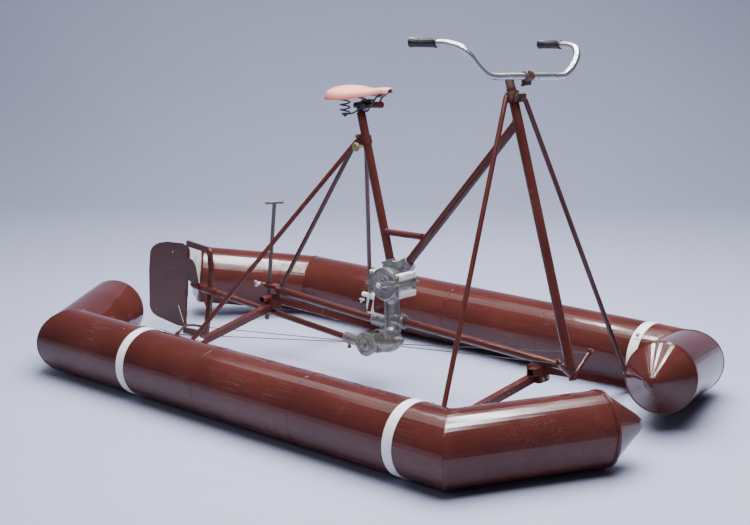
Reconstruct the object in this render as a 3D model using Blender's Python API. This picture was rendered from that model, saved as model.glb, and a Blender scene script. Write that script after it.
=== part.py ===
# Pontoon bike: two bent pipe floats, a bicycle frame on rails between them, a pedal gear column,
# a hinged propeller leg with its rudder, and a steering post that turns the rudder by cables.
# Metres. +X is forward to the bow, +Y is to port, +Z is up, and the floor is z = 0.
import bpy
import bmesh
from math import cos, sin, tan, pi, radians
from mathutils import Vector, Matrix

for leftover in list(bpy.data.objects):
    bpy.data.objects.remove(leftover, do_unlink=True)

# Driving dimensions. Lengths along the boat are measured from midway between the float bands,
# and at the end everything moves forward by CENTRE_SHIFT, so that the origin is under the middle of its box.
CENTRE_SHIFT = 0.1727
GAP = 0.0003
FLOAT_R = 0.125
BAND_PROUD = 0.0018
BAND_WIDTH = 0.040
BOW_BAND_X = 0.6825
STERN_BAND_X = -0.6425
FLOAT_Y = 0.674
FLOAT_Z = FLOAT_R + BAND_PROUD
CONE_LENGTH = 0.156
CONE_TIP_R = 0.020
STERN_CAP = 0.028
CAP_BEND = 0.008
FLOAT_SIDES = 56

BEAM_SIZE = 0.027
BEAM_X = 0.660
RAIL_R = 0.0145
FRAME_R = 0.0165
POST_R = 0.0170
POST_BORE = 0.0125
COLUMN_R = 0.0110
BRACE_R = 0.0090

SEAT_TUBE_TOP = Vector((-0.177, 0, 1.037))
SEAT_TUBE_FOOT = Vector((-0.026, 0, 0.490))
DOWN_TUBE_TOP = Vector((0.535, 0, 1.038))
DOWN_TUBE_FOOT = Vector((0.083, 0, 0.524))
POST_TOP = Vector((0.524, 0, 1.174))
POST_FOOT = Vector((0.8024, 0, 0.2397))
STRUT_REAR = Vector((-0.066, 0, 0.601))
STRUT_FRONT = Vector((0.131, 0, 0.606))
STRUT_R = 0.0125
REAR_RAIL = (Vector((-0.640, 0, 0.288)), Vector((-0.1112, 0, 0.258)))
FRONT_RAIL = (Vector((0.048, 0, 0.272)), Vector((0.785, 0, 0.241)))

CRANK_AXLE = Vector((-0.020, 0, 0.414))
CRANK_ARM = 0.182
CRANK_ANGLE = radians(12)
CRANK_INNER_Y = 0.056
PEDAL_LENGTH = 0.100
PEDAL_HEIGHT = 0.088
PEDAL_DEPTH = 0.024
GEAR_R = 0.062
SEAT_SOCKET = 0.012
DOWN_SOCKET = -0.022
COLUMN_FOOT_Z = 0.228

LEG_PIVOT = Vector((-0.122, 0, 0.162))
SHAFT_START = Vector((-0.262, 0, 0.160))
SHAFT_END = Vector((-1.080, 0, 0.222))
SHAFT_R = 0.0125
PROP_CENTRE = Vector((-1.128, 0, 0.2256))
PROP_R = 0.155
PROP_TILT = radians(34)
RUDDER_TOP = Vector((-1.178, 0, 0.384))
RUDDER_FOOT = Vector((-1.214, 0, 0.045))
TILLER_REACH = 0.085
ROD_Y = 0.027
ROD_R = 0.0080
ROD_TOP = Vector((-0.677, ROD_Y, 0.634))
ROD_FOOT = Vector((-0.731, ROD_Y, 0.146))

BAR_ROLL = radians(-3.6)
YOKE_REACH = 0.091
BAR_R = 0.0122

# Colours: linear red, green, blue, then roughness and metallic
PAINT = ((0.115, 0.030, 0.024), 0.30, 0.0)
WHITE = ((0.80, 0.81, 0.80), 0.45, 0.0)
CAST = ((0.30, 0.32, 0.33), 0.45, 0.9)
CAST_BROWN = ((0.22, 0.18, 0.15), 0.55, 0.8)
ALLOY = ((0.62, 0.63, 0.61), 0.32, 0.9)
CHROME = ((0.52, 0.53, 0.52), 0.25, 1.0)
BLACK = ((0.012, 0.012, 0.013), 0.45, 0.0)
BRASS = ((0.30, 0.25, 0.12), 0.45, 0.9)
LEATHER = ((0.62, 0.27, 0.21), 0.45, 0.0)
STEEL = ((0.16, 0.15, 0.12), 0.50, 0.8)


def material(name, look):
    colour, roughness, metallic = look
    made = bpy.data.materials.new(name)
    made.use_nodes = True
    shader = made.node_tree.nodes["Principled BSDF"]
    shader.inputs["Base Color"].default_value = (*colour, 1)
    shader.inputs["Roughness"].default_value = roughness
    shader.inputs["Metallic"].default_value = metallic
    return made


def add_object(name, bm, look):
    """Turn a closed bmesh, given in world metres, into a named object with its own material."""
    bmesh.ops.recalc_face_normals(bm, faces=bm.faces)
    mesh = bpy.data.meshes.new(name)
    bm.to_mesh(mesh)
    bm.free()
    made = bpy.data.objects.new(name, mesh)
    bpy.context.collection.objects.link(made)
    if look:
        mesh.materials.append(material(name, look))
    mesh.shade_smooth()
    mesh.set_sharp_from_angle(angle=radians(32))
    return made


def loft(sections, closed=False):
    """Skin a list of equal-count loops of points, with flat ends unless the sections run in a ring."""
    bm = bmesh.new()
    rings = [[bm.verts.new(point) for point in section] for section in sections]
    count = len(rings[0])
    pairs = list(zip(rings, rings[1:]))
    if closed:
        pairs.append((rings[-1], rings[0]))
    for low, high in pairs:
        for i in range(count):
            j = (i + 1) % count
            bm.faces.new((low[i], low[j], high[j], high[i]))
    if not closed:
        bm.faces.new(list(reversed(rings[0])))
        bm.faces.new(rings[-1])
    return bm


def side_axes(direction):
    """Two unit vectors square to a direction, the first one level."""
    level = direction.cross(Vector((0, 0, 1)))
    if level.length < 1e-5:
        level = Vector((0, 1, 0))
    level.normalize()
    return level, level.cross(direction).normalized()


def ring(centre, direction, radius, sides):
    level, upright = side_axes(direction)
    turns = [2 * pi * i / sides for i in range(sides)]
    return [centre + radius * (cos(t) * level + sin(t) * upright) for t in turns]


def squash(points, centre, along, plane):
    """Slide the points of a ring along a tube until they lie in a mitre plane."""
    return [p - along * ((p - centre).dot(plane) / along.dot(plane)) for p in points]


def tube_mesh(path, radius, sides=16, start_plane=None, end_plane=None):
    """A round bar along a path, mitred where the path bends."""
    sections = []
    last = len(path) - 1
    for i, point in enumerate(path):
        before = (point - path[i - 1]).normalized() if i else (path[1] - point).normalized()
        after = (path[i + 1] - point).normalized() if i < last else before
        plane = (before + after).normalized()
        if i == 0 and start_plane:
            plane = start_plane
        if i == last and end_plane:
            plane = end_plane
        sections.append(squash(ring(point, before, radius, sides), point, before, plane))
    return loft(sections)


def turned_mesh(profile, origin, direction, sides=24):
    """A turned solid: profile rows are (distance along, radius), both ends flat."""
    direction = direction.normalized()
    return loft([ring(origin + direction * along, direction, radius, sides) for along, radius in profile])


def turned_ring(profile, origin, direction, sides=24):
    """A turned solid with a hole: profile rows go once round its cross-section."""
    direction = direction.normalized()
    rows = [ring(origin + direction * along, direction, radius, sides) for along, radius in profile]
    return loft(rows, closed=True)


def pipe_mesh(start, end, outer, inner, sides=24):
    length = (end - start).length
    rows = ((0, outer), (length, outer), (length, inner), (0, inner))
    return turned_ring(rows, start, end - start, sides)


def box_mesh(low, high, bevel=0.0):
    bm = bmesh.new()
    bmesh.ops.create_cube(bm, size=1)
    size = [high[i] - low[i] for i in range(3)]
    middle = [(high[i] + low[i]) / 2 for i in range(3)]
    bmesh.ops.scale(bm, vec=size, verts=bm.verts)
    bmesh.ops.translate(bm, vec=middle, verts=bm.verts)
    if bevel:
        bmesh.ops.bevel(bm, geom=bm.edges[:], offset=bevel, segments=2, affect="EDGES")
    return bm


def bar_mesh(path, width, height):
    """A rectangular bar along a path: width across the bend's plane, height in it."""
    sections = []
    last = len(path) - 1
    for i, point in enumerate(path):
        before = (point - path[i - 1]).normalized() if i else (path[1] - point).normalized()
        after = (path[i + 1] - point).normalized() if i < last else before
        level, upright = side_axes(before)
        corners = [point + a * width / 2 * level + b * height / 2 * upright
                   for a, b in ((-1, -1), (1, -1), (1, 1), (-1, 1))]
        sections.append(squash(corners, point, before, (before + after).normalized()))
    return loft(sections)


def plate_mesh(outline, normal, thickness):
    """A flat plate: an outline of points, pushed half its thickness to each side."""
    offset = normal.normalized() * thickness / 2
    return loft([[p - offset for p in outline], [p + offset for p in outline]])


def combine(target, others, operation):
    """Join or cut a finished object by others with exact booleans, and drop the others."""
    for other in others:
        step = target.modifiers.new("combine", "BOOLEAN")
        step.operation = operation
        step.solver = "EXACT"
        step.object = other
        bpy.context.view_layer.update()
        evaluated = target.evaluated_get(bpy.context.evaluated_depsgraph_get())
        result = bpy.data.meshes.new_from_object(evaluated)
        target.modifiers.clear()
        spent = target.data
        target.data = result
        bpy.data.meshes.remove(spent)
        bpy.data.objects.remove(other, do_unlink=True)
    bm = bmesh.new()
    bm.from_mesh(target.data)
    bmesh.ops.remove_doubles(bm, verts=bm.verts, dist=0.00002)
    bmesh.ops.dissolve_degenerate(bm, edges=bm.edges, dist=0.00002)
    bm.to_mesh(target.data)
    bm.free()
    target.data.shade_smooth()
    target.data.set_sharp_from_angle(angle=radians(32))
    return target


def fused(name, meshes, look):
    first = add_object(name, meshes[0], look)
    return combine(first, [add_object("piece", bm, None) for bm in meshes[1:]], "UNION")


def cut(target, meshes):
    return combine(target, [add_object("cutter", bm, None) for bm in meshes], "DIFFERENCE")


def rounded_path(corners, radius, steps=4):
    """A path through corner points with each bend replaced by an arc."""
    path = [corners[0]]
    for before, corner, after in zip(corners, corners[1:], corners[2:]):
        into = (corner - before).normalized()
        out = (after - corner).normalized()
        half_turn = into.angle(out) / 2
        setback = min(radius * tan(half_turn), 0.45 * (corner - before).length, 0.45 * (after - corner).length)
        start, end = corner - into * setback, corner + out * setback
        for i in range(steps + 1):
            t = i / steps
            path.append(start * (1 - t) ** 2 + corner * 2 * t * (1 - t) + end * t ** 2)
    path.append(corners[-1])
    return path


def smooth_path(points, steps):
    """A smooth curve through every point, with even steps between neighbours."""
    ends = [2 * points[0] - points[1], *points, 2 * points[-1] - points[-2]]
    path = []
    for a, b, c, d in zip(ends, ends[1:], ends[2:], ends[3:]):
        for i in range(steps):
            t = i / steps
            path.append(0.5 * (2 * b + (c - a) * t + (2 * a - 5 * b + 4 * c - d) * t ** 2
                               + (3 * b - a - 3 * c + d) * t ** 3))
    path.append(points[-1])
    return path


def pivot_at(made, place):
    """Move an object's origin to its joint without moving its surface."""
    made.data.transform(Matrix.Translation(-place))
    made.location = place


# Floats. Columns: side name, side sign, roll, bow elbow x, bow angle, bow length,
# stern elbow x, stern angle, stern length. Angles are in degrees, lengths in metres.
FLOATS = (
    ("starboard", -1, 0.5, 0.830, 64, 0.528, -1.085, 56, 0.541),
    ("port", 1, 8.5, 0.842, 70, 0.425, -1.115, 52, 0.536),
)


def inward(side, fore_aft, angle, roll):
    """Direction of a float's end section: in towards the centre, lifted by the float's roll."""
    angle, roll = radians(angle), radians(roll)
    return Vector((fore_aft * cos(angle), -side * sin(angle) * cos(roll), sin(angle) * sin(roll)))


def build_float(name, side, roll, bow_x, bow_angle, bow_length, stern_x, stern_angle, stern_length):
    ahead = Vector((1, 0, 0))
    bow = Vector((bow_x, side * FLOAT_Y, FLOAT_Z))
    stern = Vector((stern_x, side * FLOAT_Y, FLOAT_Z))
    bow_way = inward(side, 1, bow_angle, roll)
    stern_way = inward(side, -1, stern_angle, roll)
    bow_mitre = (ahead + bow_way).normalized()
    stern_mitre = (ahead - stern_way).normalized()
    seam = ahead * GAP
    add_object("hull_main_" + name, tube_mesh([stern, bow], FLOAT_R, FLOAT_SIDES, stern_mitre, bow_mitre), PAINT)
    rim = bow + bow_way * bow_length
    add_object("hull_bow_" + name, tube_mesh([bow + seam, rim], FLOAT_R, FLOAT_SIDES, bow_mitre), PAINT)
    end = stern + stern_way * (stern_length - STERN_CAP)
    stern_bm = tube_mesh([stern - seam, end, end + stern_way * CAP_BEND, end + stern_way * STERN_CAP],
                         FLOAT_R, FLOAT_SIDES, stern_mitre)
    for reach, share in ((CAP_BEND, 0.94), (STERN_CAP, 0.70)):
        loop = [v for v in stern_bm.verts if abs((v.co - end).dot(stern_way) - reach) < CAP_BEND / 2]
        bmesh.ops.scale(stern_bm, vec=(share, share, share), verts=loop,
                        space=Matrix.Translation(-end - stern_way * reach))
    add_object("hull_stern_" + name, stern_bm, PAINT)
    profile = [(GAP, FLOAT_R + 0.003), (0.010, FLOAT_R + 0.003), (0.014, FLOAT_R - 0.004),
               (CONE_LENGTH * 0.86, 0.034)]
    for turn in (radians(20), radians(50), radians(78)):
        profile.append((CONE_LENGTH - CONE_TIP_R * (1 - sin(turn)), CONE_TIP_R * 1.35 * cos(turn)))
    add_object("bow_cone_" + name, turned_mesh(profile, rim, bow_way, FLOAT_SIDES), PAINT)
    for place, band_x in (("bow", BOW_BAND_X), ("stern", STERN_BAND_X)):
        outer, inner = FLOAT_R + BAND_PROUD, FLOAT_R + GAP
        start = Vector((band_x - BAND_WIDTH / 2, side * FLOAT_Y, FLOAT_Z))
        add_object("band_" + place + "_" + name,
                   pipe_mesh(start, start + ahead * BAND_WIDTH, outer, inner, FLOAT_SIDES), WHITE)


# Cross beams. Columns: place, x, side name, side sign, height at the hub, height at the float
BEAMS = (
    ("stern", -BEAM_X, "starboard", -1, 0.216, 0.112),
    ("stern", -BEAM_X, "port", 1, 0.234, 0.034),
    ("bow", BEAM_X, "starboard", -1, 0.184, 0.112),
    ("bow", BEAM_X, "port", 1, 0.204, 0.040),
)
HUB_HALF = 0.030


def build_beam(place, x, name, side, hub_z, float_z):
    lean = (float_z - hub_z) / (FLOAT_Y - FLOAT_R - HUB_HALF)
    inner, outer = HUB_HALF + GAP, FLOAT_Y - FLOAT_R * 0.72
    half = BEAM_SIZE / 2
    square = ((-half, -half), (half, -half), (half, half), (-half, half))
    sections = []
    for y in (inner, outer):
        z = hub_z + lean * (y - HUB_HALF)
        sections.append([Vector((x + a, side * y, z + b)) for a, b in square])
    beam = add_object("beam_" + place + "_" + name, loft(sections), PAINT)
    clear = FLOAT_R + BAND_PROUD + GAP
    centre = Vector((x - 0.05, side * FLOAT_Y, FLOAT_Z))
    cut(beam, [turned_mesh(((0, clear), (0.1, clear)), centre, Vector((1, 0, 0)), FLOAT_SIDES)])


def build_hubs():
    """Rear hub with its open round sleeve and front hub with its open square sleeve."""
    x = -BEAM_X
    along = Vector((0, 1, 0))
    body = box_mesh((x - 0.024, -HUB_HALF, 0.2060), (x + 0.020, HUB_HALF, 0.2480), 0.004)
    neck = box_mesh((x - 0.002, -0.012, 0.2300), (x + 0.020, 0.012, 0.2710), 0.002)
    sleeve_at = Vector((x - 0.010, 0, 0.2500))
    sleeve = turned_mesh(((-0.056, 0.0140), (0.029, 0.0140)), sleeve_at, along, 20)
    hub = fused("hub_stern", [body, neck, sleeve], PAINT)
    cut(hub, [turned_mesh(((-0.1, 0.0105), (-0.02, 0.0105)), sleeve_at, along, 20)])
    x = BEAM_X
    body = box_mesh((x - 0.024, -HUB_HALF, 0.169), (x + 0.034, HUB_HALF, 0.2296), 0.003)
    arm = box_mesh((x + 0.006, -0.064, 0.1995), (x + 0.0335, 0.028, 0.2270))
    hub = fused("hub_bow", [body, arm], PAINT)
    cut(hub, [box_mesh((x + 0.0085, -0.08, 0.2020), (x + 0.0310, -0.020, 0.2245))])


def build_rails():
    rear_start, rear_end = REAR_RAIL
    add_object("rail_rear", tube_mesh([rear_start, rear_end], RAIL_R, 16), PAINT)
    front_start, front_end = FRONT_RAIL
    rail = add_object("rail_front", tube_mesh([front_start, front_end], RAIL_R, 16), PAINT)
    along = (POST_FOOT - POST_TOP).normalized()
    clear = POST_R + GAP
    cut(rail, [turned_mesh(((-0.2, clear), (0.2, clear)), POST_FOOT, along, 24)])
    keep_one(rail, lowest_x)


def keep_one(made, offset):
    """After a cut has parted an object, keep only the piece for which offset(points) is least."""
    bm = bmesh.new()
    bm.from_mesh(made.data)
    unseen, groups = set(bm.verts), []
    while unseen:
        stack, group = [unseen.pop()], []
        while stack:
            vert = stack.pop()
            group.append(vert)
            for edge in vert.link_edges:
                other = edge.other_vert(vert)
                if other in unseen:
                    unseen.remove(other)
                    stack.append(other)
        groups.append(group)
    kept = set(min(groups, key=lambda group: offset([v.co for v in group])))
    bmesh.ops.delete(bm, geom=[v for v in bm.verts if v not in kept], context="VERTS")
    bm.to_mesh(made.data)
    bm.free()


def lowest_x(points):
    return min(p.x for p in points)


def strut_offset(points):
    """How far the middle of some points lies from the middle of the strut, along the boat."""
    middle = (min(p.x for p in points) + max(p.x for p in points)) / 2
    return abs(middle - (STRUT_REAR.x + STRUT_FRONT.x) / 2)


def build_frame():
    seat_way = (SEAT_TUBE_TOP - SEAT_TUBE_FOOT).normalized()
    down_way = (DOWN_TUBE_TOP - DOWN_TUBE_FOOT).normalized()
    post_way = (POST_FOOT - POST_TOP).normalized()
    add_object("seat_tube", tube_mesh([SEAT_TUBE_FOOT + seat_way * SEAT_SOCKET, SEAT_TUBE_TOP], FRAME_R, 18), PAINT)
    down_line = [DOWN_TUBE_FOOT + down_way * DOWN_SOCKET, DOWN_TUBE_TOP + down_way * 0.03]
    down = add_object("down_tube", tube_mesh(down_line, FRAME_R, 18), PAINT)
    clear = POST_R + GAP
    cut(down, [turned_mesh(((-0.1, clear), (0.9, clear)), POST_TOP, post_way, 24)])
    keep_one(down, lowest_x)
    strut = add_object("cross_strut", tube_mesh([STRUT_REAR, STRUT_FRONT], STRUT_R, 16), PAINT)
    seat_cut = FRAME_R + GAP
    cut(strut, [turned_mesh(((0.02, seat_cut), (0.4, seat_cut)), SEAT_TUBE_FOOT, seat_way, 24),
                turned_mesh(((0.02, seat_cut), (0.4, seat_cut)), DOWN_TUBE_FOOT, down_way, 24)])
    keep_one(strut, strut_offset)
    add_object("steering_post", pipe_mesh(POST_TOP, POST_FOOT, POST_R, POST_BORE, 24), PAINT)
    tubes = ((SEAT_TUBE_FOOT, seat_way, SEAT_SOCKET), (DOWN_TUBE_FOOT, down_way, DOWN_SOCKET))
    sockets = [turned_mesh(((end - 0.027, 0.0205), (end - GAP, 0.0205)), foot, way, 20)
               for foot, way, end in tubes]
    outline = [Vector(p) for p in ((-0.052, 0, 0.488), (-0.058, 0, 0.462), (-0.030, 0, 0.446), (0.020, 0, 0.446),
                                   (0.066, 0, 0.462), (0.090, 0, 0.487), (0.074, 0, 0.501), (0.052, 0, 0.520),
                                   (0.034, 0, 0.508), (0.008, 0, 0.494), (-0.010, 0, 0.500))]
    web = plate_mesh(outline, Vector((0, 1, 0)), 0.026)
    bolts = [turned_mesh(((-0.021, 0.007), (0.021, 0.007)), Vector((x, 0, z)), Vector((0, 1, 0)), 6)
             for x, z in ((-0.030, 0.466), (0.036, 0.476), (0.068, 0.484))]
    lug = fused("frame_lug", [web, *sockets, *bolts], CAST)
    cut(lug, [turned_mesh(((-0.1, GEAR_R + GAP), (0.1, GEAR_R + GAP)), CRANK_AXLE, Vector((0, 1, 0)), 40)])


# Braces. Columns: name, top point, foot point
BRACES = (
    ("brace_seat_starboard", (-0.168, -0.030, 0.934), (-0.600, -0.530, 0.146)),
    ("brace_seat_port", (-0.180, 0.031, 0.930), (-0.642, 0.548, 0.186)),
    ("brace_seat_centre", (-0.190, -0.014, 0.925), (-0.612, -0.002, 0.3075)),
    ("brace_head_starboard", (0.528, -0.030, 1.150), (0.676, -0.533, 0.142)),
    ("brace_head_port", (0.560, 0.032, 1.136), (0.664, 0.539, 0.092)),
)


def brace_hole(top, foot):
    """A cutter a little wider and longer than a brace, for the clamp that it passes."""
    clear = BRACE_R + 0.001
    return turned_mesh(((-0.002, clear), (0.5, clear)), Vector(top), Vector(foot) - Vector(top), 16)


def build_braces():
    for name, top, foot in BRACES:
        top, foot = Vector(top), Vector(foot)
        add_object(name, tube_mesh([top, foot], BRACE_R, 12), PAINT)
    # Seat clamp: a collar round the seat tube with two ears that hold the brace ends
    seat_way = (SEAT_TUBE_TOP - SEAT_TUBE_FOOT).normalized()
    along = (Vector((-0.152, 0, 0.935)) - SEAT_TUBE_FOOT).dot(seat_way)
    centre = SEAT_TUBE_FOOT + seat_way * along
    collar = turned_mesh(((-0.0165, 0.0208), (0.0150, 0.0208)), centre, seat_way, 24)
    ears = box_mesh(centre + Vector((-0.040, -0.016, -0.020)), centre + Vector((0.004, 0.016, 0.018)), 0.003)
    clamp = fused("seat_clamp", [collar, ears], CAST_BROWN)
    clear = FRAME_R + GAP
    cut(clamp, [turned_mesh(((-0.1, clear), (0.1, clear)), centre, seat_way, 24)])
    cut(clamp, [brace_hole(top, foot) for name, top, foot in BRACES[:3]])
    knob_at = Vector((-0.150, -0.062, 0.915))
    knob_profile = ((0, 0.014), (0.003, 0.016), (0.010, 0.016), (0.013, 0.005), (0.0380, 0.005))
    add_object("brace_knob", turned_mesh(knob_profile, knob_at, Vector((0, 1, 0)), 24), BRASS)
    # Head clamp: a collar round the post under its top
    post_way = (POST_FOOT - POST_TOP).normalized()
    centre = POST_TOP + post_way * 0.030
    collar = turned_mesh(((-0.018, 0.0240), (0.018, 0.0240)), centre, post_way, 20)
    ears = box_mesh(centre + Vector((-0.014, -0.018, -0.014)), centre + Vector((0.046, 0.018, 0.014)), 0.003)
    clamp = fused("head_clamp", [collar, ears], CAST_BROWN)
    clear = POST_R + GAP
    cut(clamp, [turned_mesh(((-0.1, clear), (0.1, clear)), centre, post_way, 24)])
    cut(clamp, [brace_hole(top, foot) for name, top, foot in BRACES[3:]])


def build_seat():
    seat_way = (SEAT_TUBE_TOP - SEAT_TUBE_FOOT).normalized()
    base = SEAT_TUBE_TOP + seat_way * GAP
    bend = base + seat_way * 0.026
    pillar = tube_mesh([base, bend], 0.0125, 16)
    arm = tube_mesh([bend + Vector((-0.022, 0, -0.002)), bend + Vector((0.108, 0, 0.010))], 0.0110, 16)
    clamp_at = bend + Vector((0.030, 0, 0.001))
    clamp = turned_mesh(((-0.024, 0.0140), (0.024, 0.0140)), clamp_at, Vector((0, 1, 0)), 16)
    fused("seat_pillar", [pillar, arm, clamp], STEEL)
    # Springs: two upright coils under the rear of the saddle and the wires that join them to the nose
    up_way = Vector((0, 0, 1))
    coils = [turned_mesh(((0, 0.019), (0.038, 0.019)), Vector((-0.214, s * 0.046, 1.030)), up_way, 14)
             for s in (-1, 1)]
    rear_bar = tube_mesh([Vector((-0.214, -0.058, 1.046)), Vector((-0.214, 0.058, 1.046))], 0.005, 10)
    wires = [tube_mesh([Vector((-0.214, s * 0.040, 1.060)), Vector((-0.140, s * 0.034, 1.066)),
                        Vector((-0.062, s * 0.012, 1.093))], 0.0042, 10) for s in (-1, 1)]
    nose_bar = tube_mesh([Vector((-0.064, -0.018, 1.093)), Vector((-0.064, 0.018, 1.093))], 0.005, 10)
    springs = fused("saddle_springs", [coils[0], rear_bar, coils[1], wires[0], wires[1], nose_bar], BLACK)
    # Saddle. Columns: x, half width, underside z, edge z, crown z
    rows = ((-0.302, 0.050, 1.080, 1.096, 1.111), (-0.286, 0.088, 1.074, 1.098, 1.125),
            (-0.250, 0.104, 1.071, 1.101, 1.133), (-0.210, 0.098, 1.071, 1.103, 1.133),
            (-0.165, 0.066, 1.0795, 1.106, 1.131), (-0.120, 0.037, 1.087, 1.111, 1.132),
            (-0.075, 0.026, 1.100, 1.119, 1.137), (-0.040, 0.022, 1.111, 1.126, 1.140),
            (-0.028, 0.012, 1.119, 1.128, 1.136))
    sections = []
    for x, half, low, edge, crown in rows:
        section = []
        for i in range(20):
            t = 2 * pi * i / 20
            y = half * cos(t)
            z = edge + (crown - edge) * sin(t) if sin(t) >= 0 else edge + (edge - low) * sin(t)
            section.append(Vector((x, y, z)))
        sections.append(section)
    add_object("saddle", loft(sections), LEATHER)


def build_gear():
    y_way, z_way = Vector((0, 1, 0)), Vector((0, 0, 1))
    rim = GEAR_R - 0.006
    upper = turned_mesh(((-0.050, rim), (-0.046, GEAR_R), (-0.013, GEAR_R), (-0.012, rim), (0.012, rim),
                         (0.013, GEAR_R), (0.046, GEAR_R), (0.050, rim)), CRANK_AXLE, y_way, 40)
    caps = [turned_mesh(((-0.055, 0.018), (-0.0495, 0.018)), CRANK_AXLE, y_way, 24),
            turned_mesh(((0.0495, 0.018), (0.055, 0.018)), CRANK_AXLE, y_way, 24)]
    housing = fused("gear_upper", [upper, *caps], CAST)
    cut(housing, [turned_mesh(((-0.1, 0.0090), (0.1, 0.0090)), CRANK_AXLE, y_way, 24)])
    column_at = Vector((CRANK_AXLE.x, 0, 0))
    column = turned_mesh(((COLUMN_FOOT_Z, 0.035), (0.236, 0.035), (0.247, 0.0270), (0.335, 0.0265),
                          (0.352, 0.034), (0.372, 0.036)), column_at, z_way, 28)
    ribs = [box_mesh((column_at.x - 0.004, -0.0345, 0.234), (column_at.x + 0.004, 0.0345, 0.352), 0.0),
            box_mesh((column_at.x - 0.0345, -0.004, 0.234), (column_at.x + 0.0345, 0.004, 0.352), 0.0)]
    rear_lug = turned_mesh(((0, 0.0235), (0.086, 0.0235)), Vector((-0.1095, 0, 0.258)), Vector((1, 0, 0)), 20)
    front_lug = turned_mesh(((0, 0.024), (0.052, 0.0235)), Vector((-0.005, 0, 0.272)), Vector((1, 0, 0)), 20)
    gear_column = fused("gear_column", [column, *ribs, rear_lug, front_lug], CAST)
    cut(gear_column, [turned_mesh(((-0.1, GEAR_R + GAP), (0.1, GEAR_R + GAP)), CRANK_AXLE, y_way, 40)])
    nose_way = Vector((1, 0, 0.26)).normalized()
    nose_base = Vector((-0.105, 0, 0.164))
    bulb = turned_mesh(((0, 0.030), (0.020, 0.037), (0.070, 0.041), (0.100, 0.036), (0.125, 0.024),
                        (0.141, 0.012), (0.147, 0.005)), nose_base, nose_way, 28)
    flange = turned_mesh(((0.180, 0.030), (0.2165, 0.035), (COLUMN_FOOT_Z - GAP, 0.035)), column_at, z_way, 28)
    cheeks = [turned_mesh(((y, 0.042), (y + 0.003, 0.046), (y + 0.013, 0.046), (y + 0.016, 0.042)),
                          LEG_PIVOT, y_way, 32) for y in (-0.042, 0.026)]
    arms = [box_mesh((LEG_PIVOT.x, y, 0.140), (-0.060, y + 0.012, 0.186), 0.002) for y in (-0.040, 0.028)]
    shoulder = box_mesh((-0.082, -0.040, 0.140), (-0.056, 0.040, 0.186), 0.003)
    lower = fused("gear_lower", [bulb, flange, shoulder, *arms, *cheeks], CAST_BROWN)
    cut(lower, [turned_mesh(((-0.0255, 0.0395), (0.0255, 0.0395)), LEG_PIVOT, y_way, 32)])


def build_leg():
    y_way = Vector((0, 1, 0))
    shaft_way = (SHAFT_END - SHAFT_START).normalized()
    knuckle = turned_mesh(((-0.0235, 0.030), (-0.020, 0.034), (0.020, 0.034), (0.0235, 0.030)),
                          LEG_PIVOT, y_way, 28)
    sleeve = turned_mesh(((0, 0.018), (0.030, 0.0205), (0.100, 0.0205), (0.1065, 0.0185)),
                         SHAFT_START - shaft_way * 0.1070, shaft_way, 20)
    screw_at = SHAFT_START + Vector((0.022, 0, -0.034))
    screw = turned_mesh(((0, 0.005), (0.032, 0.005)), screw_at, Vector((0, 0, 1)), 8)
    knuckle_made = fused("leg_knuckle", [knuckle, sleeve, screw], CAST_BROWN)
    tube = tube_mesh([SHAFT_START, SHAFT_END - shaft_way * 0.0725], SHAFT_R, 16)
    lug_x = ROD_FOOT.x + 0.010
    lug_z = SHAFT_START.z + (lug_x - SHAFT_START.x) / shaft_way.x * shaft_way.z
    lug = box_mesh((lug_x - 0.012, -0.005, lug_z - 0.010), (lug_x + 0.012, 0.0165, lug_z + 0.010), 0.002)
    fused("shaft_tube", [tube, lug], PAINT)
    bearing = turned_mesh(((-0.072, 0.0165), (0.012, 0.0165), (0.018, 0.012)), SHAFT_END, shaft_way, 20)
    corners = [Vector((x, 0, z)) for x, z in ((-1.186, 0.402), (-1.044, 0.391), (-1.036, 0.300), (-1.046, 0.200),
                                              (-1.066, 0.090), (-1.080, 0.022), (-1.222, 0.018))]
    bow = bar_mesh(rounded_path(corners, 0.022, 3), 0.012, 0.024)
    fused("stern_frame", [bow, bearing], PAINT)
    pivot_at(knuckle_made, LEG_PIVOT)
    for name in ("shaft_tube", "stern_frame"):
        pivot_at(bpy.data.objects[name], LEG_PIVOT)


# Propeller blade. Columns: share of the radius, half chord, half thickness, pitch in degrees
BLADE = (
    (0.05, 0.0102, 0.0045, 58), (0.30, 0.022, 0.0035, 50), (0.60, 0.036, 0.0028, 42),
    (0.85, 0.039, 0.0022, 37), (0.96, 0.030, 0.0018, 35), (1.0, 0.016, 0.0014, 35),
)


def build_propeller():
    shaft_way = (SHAFT_START - SHAFT_END).normalized()
    hub = turned_mesh(((-0.030, 0.007), (-0.024, 0.0135), (0.014, 0.0155), (0.020, 0.0155)),
                      PROP_CENTRE, shaft_way, 21)
    blades = []
    for turn in (PROP_TILT, PROP_TILT + pi):
        out = Vector((0, -sin(turn), cos(turn)))
        out = (out - shaft_way * out.dot(shaft_way)).normalized()
        across = shaft_way.cross(out)
        sections = []
        for share, chord, thick, pitch in BLADE:
            angle = radians(pitch)
            chord_way = across * cos(angle) - shaft_way * sin(angle)
            thick_way = out.cross(chord_way)
            centre = PROP_CENTRE + out * (PROP_R * share)
            section = []
            for i in range(14):
                t = 2 * pi * i / 14
                section.append(centre + chord_way * chord * cos(t) + thick_way * thick * sin(t))
            sections.append(section)
        blade = loft(sections)
        bmesh.ops.triangulate(blade, faces=blade.faces)
        blades.append(blade)
    made = fused("propeller", [hub, *blades], PAINT)
    pivot_at(made, PROP_CENTRE)


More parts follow.
